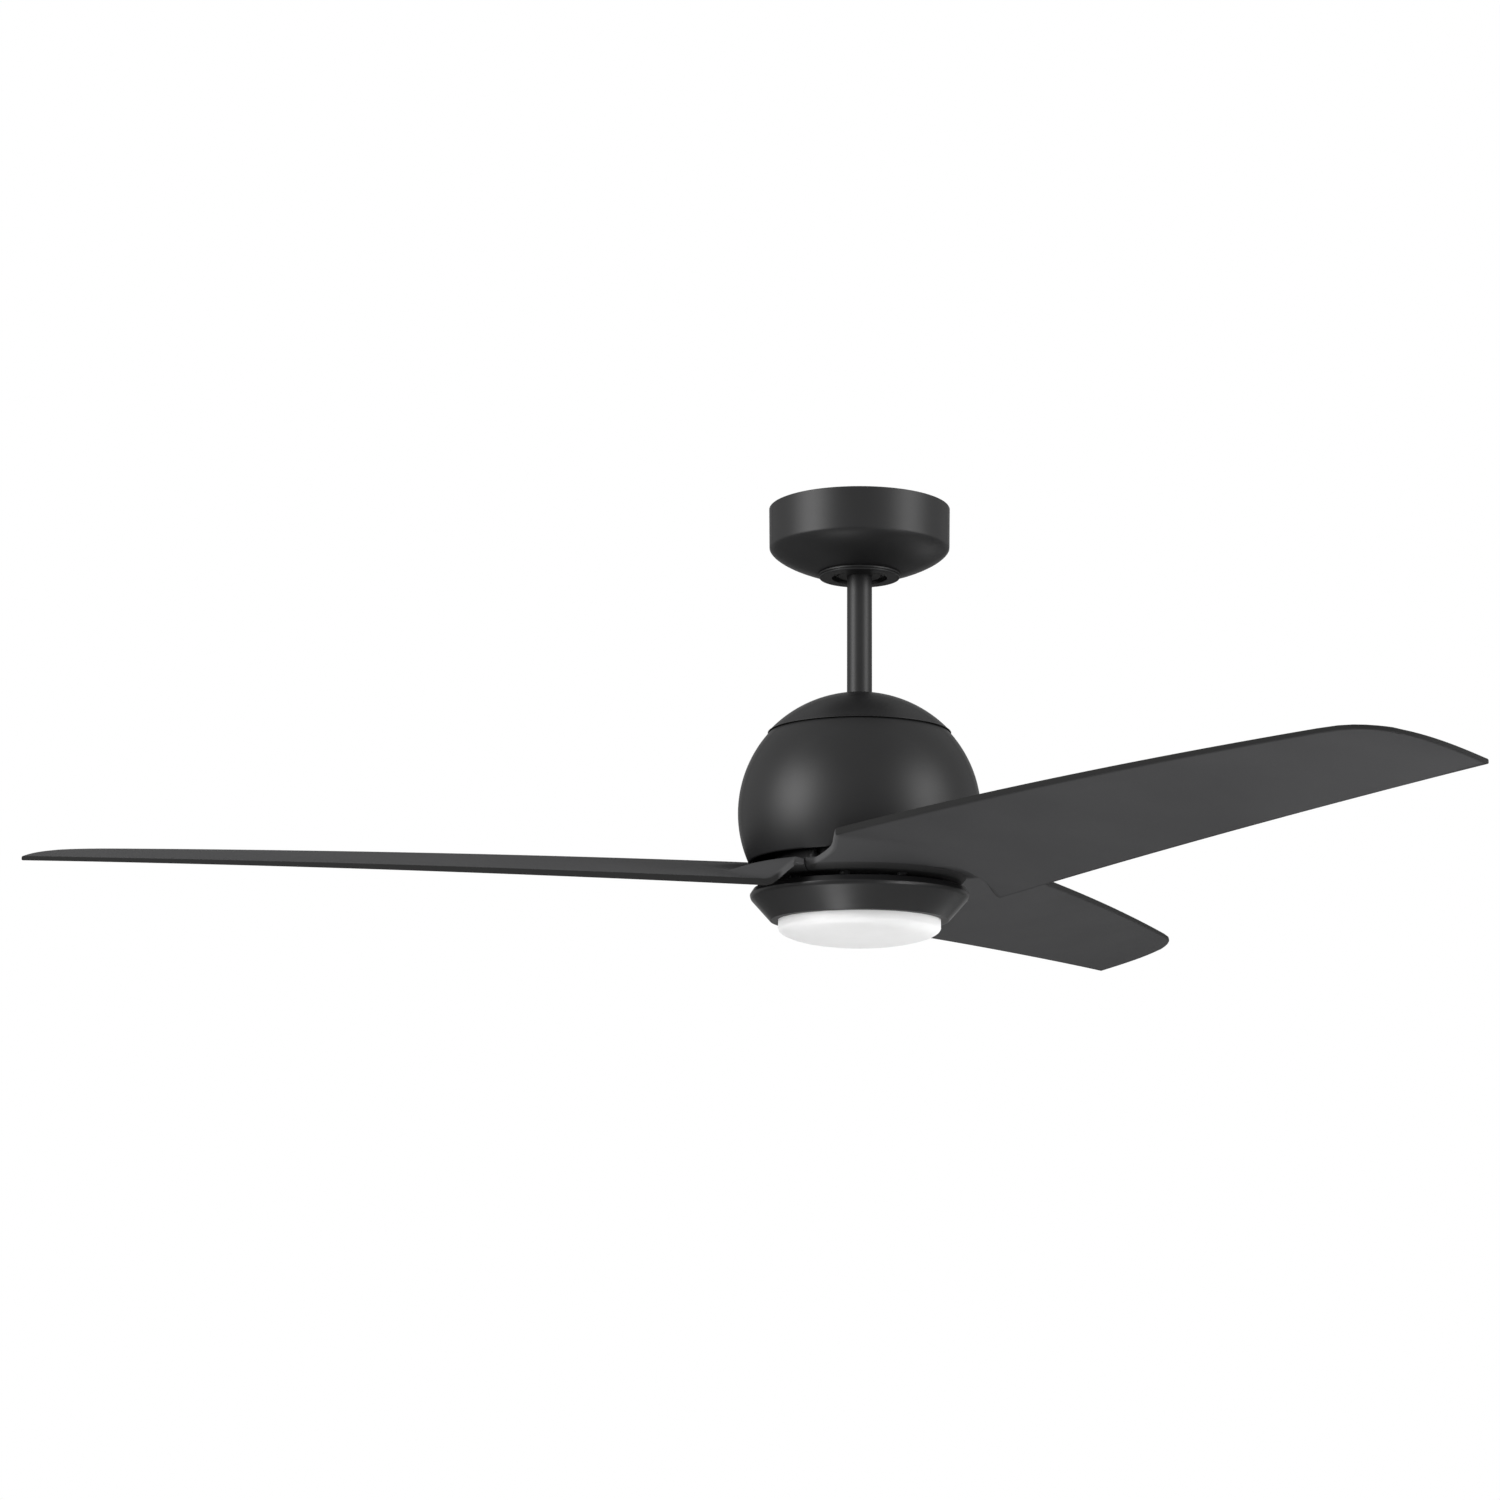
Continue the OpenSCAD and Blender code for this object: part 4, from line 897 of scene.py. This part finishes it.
bpy.ops.mesh.select_all(action="SELECT")
bpy.ops.mesh.normals_make_consistent(inside=False)
bpy.ops.object.mode_set(mode="OBJECT")
blade.data.attributes.remove(blade.data.attributes["column"])

blade_screw_circle, blade_hole_r = 70 * mm, 2.3 * mm
screw_turns = [first_blade + root_middle + turn for turn in (-40, 0, 40)]
drill_down(blade, blade_hole_r, around(blade_screw_circle, screw_turns), collar_bottom * mm)
soften(blade, 1.1 * mm, 32)

blades = [blade]
for name in ("blade_two", "blade_three"):
    deselect()
    blades[-1].select_set(True)
    bpy.context.view_layer.objects.active = blades[-1]
    bpy.ops.object.duplicate()
    turned = bpy.context.object
    turned.name = turned.data.name = name
    turned.data.transform(Matrix.Rotation(math.radians(blade_turn), 4, "Z"))
    blades.append(turned)
for number, piece in enumerate(blades, 1):
    fit(piece, blade_abs, "blade_plastic", "rotor", f"blade_{number}")


# ---- Light ring ----
# The tapered ring under the collar that carries the lens: spun steel with smoother paint than the
# housing's, a sloped top edge, a slight shoulder, and a sleeve inside with three lugs for the lens.

ring_low, ring_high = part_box("light_ring")
ring_r = ring_high.x
ring_top, ring_bottom = ring_high.z, ring_low.z
ring_wall = 1.5 * mm
ring_foot_r = 75 * mm
ring_edge_w, ring_edge_h = 3.1 * mm, 4.8 * mm
band_w, band_h = 0.33 * mm, 6.8 * mm
shoulder_w, shoulder_h = 1 * mm, 8.5 * mm
inner_edge_w, inner_edge_h, inner_top_w = 1.5 * mm, 5.4 * mm, 3.4 * mm
ring_flange_r = 82 * mm
lens_hole_r = 68.7 * mm
sleeve_h = 10 * mm
slope = Vector((ring_r - shoulder_w - ring_foot_r, ring_top - shoulder_h - ring_bottom))
slope_in = Vector((-slope.y, slope.x)).normalized() * ring_wall
inner_foot_r = ring_foot_r + slope_in.x - (slope_in.y - ring_wall) * slope.x / slope.y

light_ring = spun(
    "light_ring_shell",
    [
        (ring_r - ring_edge_w, ring_top),
        (ring_r, ring_top - ring_edge_h),
        (ring_r - band_w, ring_top - band_h),
        (ring_r - shoulder_w, ring_top - shoulder_h),
        (ring_foot_r, ring_bottom),
        (lens_hole_r, ring_bottom),
        (lens_hole_r, ring_bottom + sleeve_h),
        (lens_hole_r + ring_wall, ring_bottom + sleeve_h),
        (lens_hole_r + ring_wall, ring_bottom + ring_wall),
        (inner_foot_r, ring_bottom + ring_wall),
        (ring_r - shoulder_w + slope_in.x, ring_top - shoulder_h + slope_in.y),
        (ring_r - inner_edge_w, ring_top - inner_edge_h),
        (ring_r - inner_top_w, ring_top - ring_wall),
        (ring_flange_r, ring_top - ring_wall),
        (ring_flange_r, ring_top),
    ],
    160,
)
ring_screw_circle, ring_hole_r = 84 * mm, 1.85 * mm
drill_down(light_ring, ring_hole_r, around(ring_screw_circle, (30, 150, 270)), ring_top - ring_wall / 2)
lug_turns = (20, 140, 260)
lug_r, lug_l = 1.6 * mm, 2.95 * mm
lug_middle_r = lens_hole_r - 0.725 * mm
lug_height = ring_bottom + 4.5 * mm
for turn in lug_turns:
    deselect()
    way = math.radians(turn)
    bpy.ops.mesh.primitive_cylinder_add(
        vertices=24,
        radius=lug_r,
        depth=lug_l,
        location=(lug_middle_r * math.cos(way), lug_middle_r * math.sin(way), lug_height),
        rotation=(0, math.pi / 2, way),
    )
    lug = bpy.context.object
    modify(light_ring, "BOOLEAN", object=lug, operation="UNION", solver="EXACT")
    bpy.data.objects.remove(lug)
soften(light_ring, 0.35 * mm, 30)
satin_paint = black_powder("satin_black_paint", 0.33, 0.38)
fit(light_ring, satin_paint, "black_sheet", "pendant", "light_ring")


# ---- Light's plate, driver and panel ----
# A steel plate that a nut holds on the hollow shaft. Aluminium standoffs carry the aluminium panel
# under it, with its white board of chips, and a white moulded driver lies between the two.

mill_sheet = surface(
    "mill_aluminium",
    size=0.6 * mm,
    height=0.008 * mm,
    mottle_size=0.02,
    dark=(0.62, 0.63, 0.64),
    light=(0.74, 0.75, 0.76),
    smooth=0.28,
    rough=0.4,
    metallic=1.0,
)
finish_nodes(mill_sheet, "led_plate", "light_standoffs")

white_moulding = surface(
    "white_moulded_plastic",
    size=0.4 * mm,
    height=0.015 * mm,
    mottle_size=0.02,
    dark=(0.76, 0.76, 0.73),
    light=(0.84, 0.84, 0.81),
    smooth=0.4,
    rough=0.5,
)
finish_nodes(white_moulding, "led_driver")

board_mask = surface(
    "white_solder_mask",
    size=0.3 * mm,
    height=0.006 * mm,
    mottle_size=0.01,
    dark=(0.8, 0.81, 0.8),
    light=(0.88, 0.88, 0.87),
    smooth=0.35,
    rough=0.42,
    Coat_Weight=0.4,
)
finish_nodes(board_mask, "led_board")

phosphor = surface(
    "phosphor_gel",
    size=0.25 * mm,
    height=0.01 * mm,
    mottle_size=0.003,
    dark=(0.8, 0.58, 0.1),
    light=(0.9, 0.7, 0.2),
    smooth=0.3,
    rough=0.5,
    Coat_Weight=0.6,
)
finish_nodes(phosphor, "led_chips")


# ---- Lens ----
# The light's bowl, blow moulded from opal white acrylic, with a faint painted glow that evens out its
# white. It goes up into the ring's sleeve, and a small turn takes its three slots over the sleeve's lugs.

opal, tree, shader = material(
    "opal_acrylic",
    Specular_IOR_Level=0.3,
    Subsurface_Weight=0.8,
    Subsurface_Scale=0.02,
    Subsurface_Radius=(1, 1, 1),
    Emission_Strength=1.0,
)
opal_skin = grained(tree, shader, 1.2 * mm, 0.01 * mm, 0.05)
shades(tree, opal_skin.outputs["Mottle"], (0.72, 0.72, 0.72), (0.76, 0.76, 0.76), shader.inputs["Base Color"])
# Painted glow: a faint emission, not a lamp, that keeps the bowl evenly white under any light.
dim, bright = (0.05, 0.05, 0.05), (0.065, 0.065, 0.065)
shades(tree, opal_skin.outputs["Mottle"], dim, bright, shader.inputs["Emission Color"])
between(tree, opal_skin.outputs["Speck"], 0.42, 0.5, shader.inputs["Roughness"])

lens_low, lens_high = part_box("lens")
lens_r = lens_high.x
lens_wall = 2.4 * mm
lens_edge = 0.5 * mm
lens_side = ring_bottom - 6 * mm
slot_half = 1.7 * mm
slot_back, slot_turn, way_in_turn = 19.6, 21.2, 3.2


def dome(cut, first, last, steps):
    """Points (radius, height) on the lens's dome, cut inside its outer face."""
    turns = [math.radians(first + (last - first) * i / steps) for i in range(steps + 1)]
    depth = lens_side - lens_low.z
    return [((lens_r - cut) * math.cos(a), lens_side - (depth - cut) * math.sin(a)) for a in turns]


lens = spun(
    "lens_bowl_shell",
    [
        (lens_r, lens_high.z - lens_edge),
        *dome(0, 0, 90, 30),
        *dome(lens_wall, 90, 0, 30),
        (lens_r - lens_wall, lens_high.z - lens_edge),
        (lens_r - lens_wall + lens_edge, lens_high.z),
        (lens_r - lens_edge, lens_high.z),
    ],
    144,
)
for turn in lug_turns:
    slot = part_ring(
        "lens_slot",
        [
            (lens_r - lens_wall - mm, lug_height - slot_half),
            (lens_r + mm, lug_height - slot_half),
            (lens_r + mm, lug_height + slot_half),
            (lens_r - lens_wall - mm, lug_height + slot_half),
        ],
        turn - slot_back,
        slot_turn,
        12,
    )
    way_in = part_ring(
        "lens_way_in",
        [
            (lens_r - lens_wall - mm, lug_height),
            (lens_r + mm, lug_height),
            (lens_r + mm, lens_high.z + mm),
            (lens_r - lens_wall - mm, lens_high.z + mm),
        ],
        turn - slot_back,
        way_in_turn,
        4,
    )
    for cutter in (slot, way_in):
        modify(lens, "BOOLEAN", object=cutter, operation="DIFFERENCE", solver="EXACT")
        bpy.data.objects.remove(cutter)
soften(lens, 0.3 * mm, 40, 2)
fit(lens, opal, "opal_plastic", "lens_bowl", "lens")


# ---- Stage ----
# A plain pale floor far below the fan, white surroundings, and soft lamps around it.

deselect()
floor_size, floor_depth = 30, 2.4
bpy.ops.mesh.primitive_plane_add(size=floor_size, location=(0, 0, -floor_depth))
floor = bpy.context.object
floor.name = floor.data.name = "floor"
pale, tree, shader = material("pale_floor", roughness=0.8, Base_Color=(0.82, 0.82, 0.82, 1))
output = tree.nodes["Material Output"]
clear = node(tree, "ShaderNodeBsdfTransparent")
behind = node(tree, "ShaderNodeNewGeometry")
seen = node(
    tree, "ShaderNodeMixShader", _0=behind.outputs["Backfacing"], _1=shader.outputs[0], _2=clear.outputs[0]
)
tree.links.new(seen.outputs[0], output.inputs["Surface"])
floor.data.materials.append(pale)

world = bpy.data.worlds.new("white_room")
bpy.context.scene.world = world
world.use_nodes = True
tree = world.node_tree
rays = node(tree, "ShaderNodeLightPath")
seen_white = rays.outputs["Is Camera Ray"]
for kind in ("Is Glossy Ray", "Is Transmission Ray"):
    either = node(tree, "ShaderNodeMath", {"operation": "MAXIMUM"}, _0=seen_white, _1=rays.outputs[kind])
    seen_white = either.outputs[0]
strength = node(tree, "ShaderNodeMapRange", Value=seen_white, To_Min=0.3, To_Max=1.0)
room = tree.nodes["Background"]
room.inputs["Color"].default_value = (1, 1, 1, 1)
tree.links.new(strength.outputs["Result"], room.inputs["Strength"])


def lamp(name, place, aim, width, height, power):
    """A soft rectangular lamp that shines towards a point and is itself out of every picture."""
    light = bpy.data.lights.new(name, "AREA")
    light.shape = "RECTANGLE"
    light.size, light.size_y, light.energy = width, height, power
    made = bpy.data.objects.new(name, light)
    bpy.context.scene.collection.objects.link(made)
    made.location = place
    made.rotation_euler = (Vector(aim) - Vector(place)).to_track_quat("-Z", "Y").to_euler()
    made.visible_camera = False


middle = (0, 0, 0)
lamp("left_box", (-2.6, -1.45, 0.35), middle, 1.5, 2.1, 145)
lamp("right_box", (2.7, -1.35, 0.35), middle, 1.4, 2.1, 108)
lamp("top_box", (0, 0.3, 2.6), middle, 2.6, 2.6, 3)
lamp("low_left_box", (-0.5, -0.38, -2.15), (0, 0, -0.35), 0.4, 0.5, 11)
lamp("low_right_box", (0.95, -0.95, -0.8), (0.45, -0.5, -0.3), 0.4, 0.4, 9)
lamp("low_back_box", (0.9, 1.6, -1.3), (0.25, 0.5, -0.3), 0.5, 0.5, 5)


# ---- Camera ----
# It looks up at the fan from slightly below.

eye = bpy.data.cameras.new("camera")
eye.lens, eye.sensor_width, eye.shift_x = 80.17, 36.0, -0.073
camera = bpy.data.objects.new("camera", eye)
bpy.context.scene.collection.objects.link(camera)
camera.location = (0, -2.77516, -0.73335)
camera.rotation_euler = (math.radians(100.686), 0, 0)
bpy.context.scene.camera = camera
bpy.context.scene.view_settings.view_transform = "Standard"
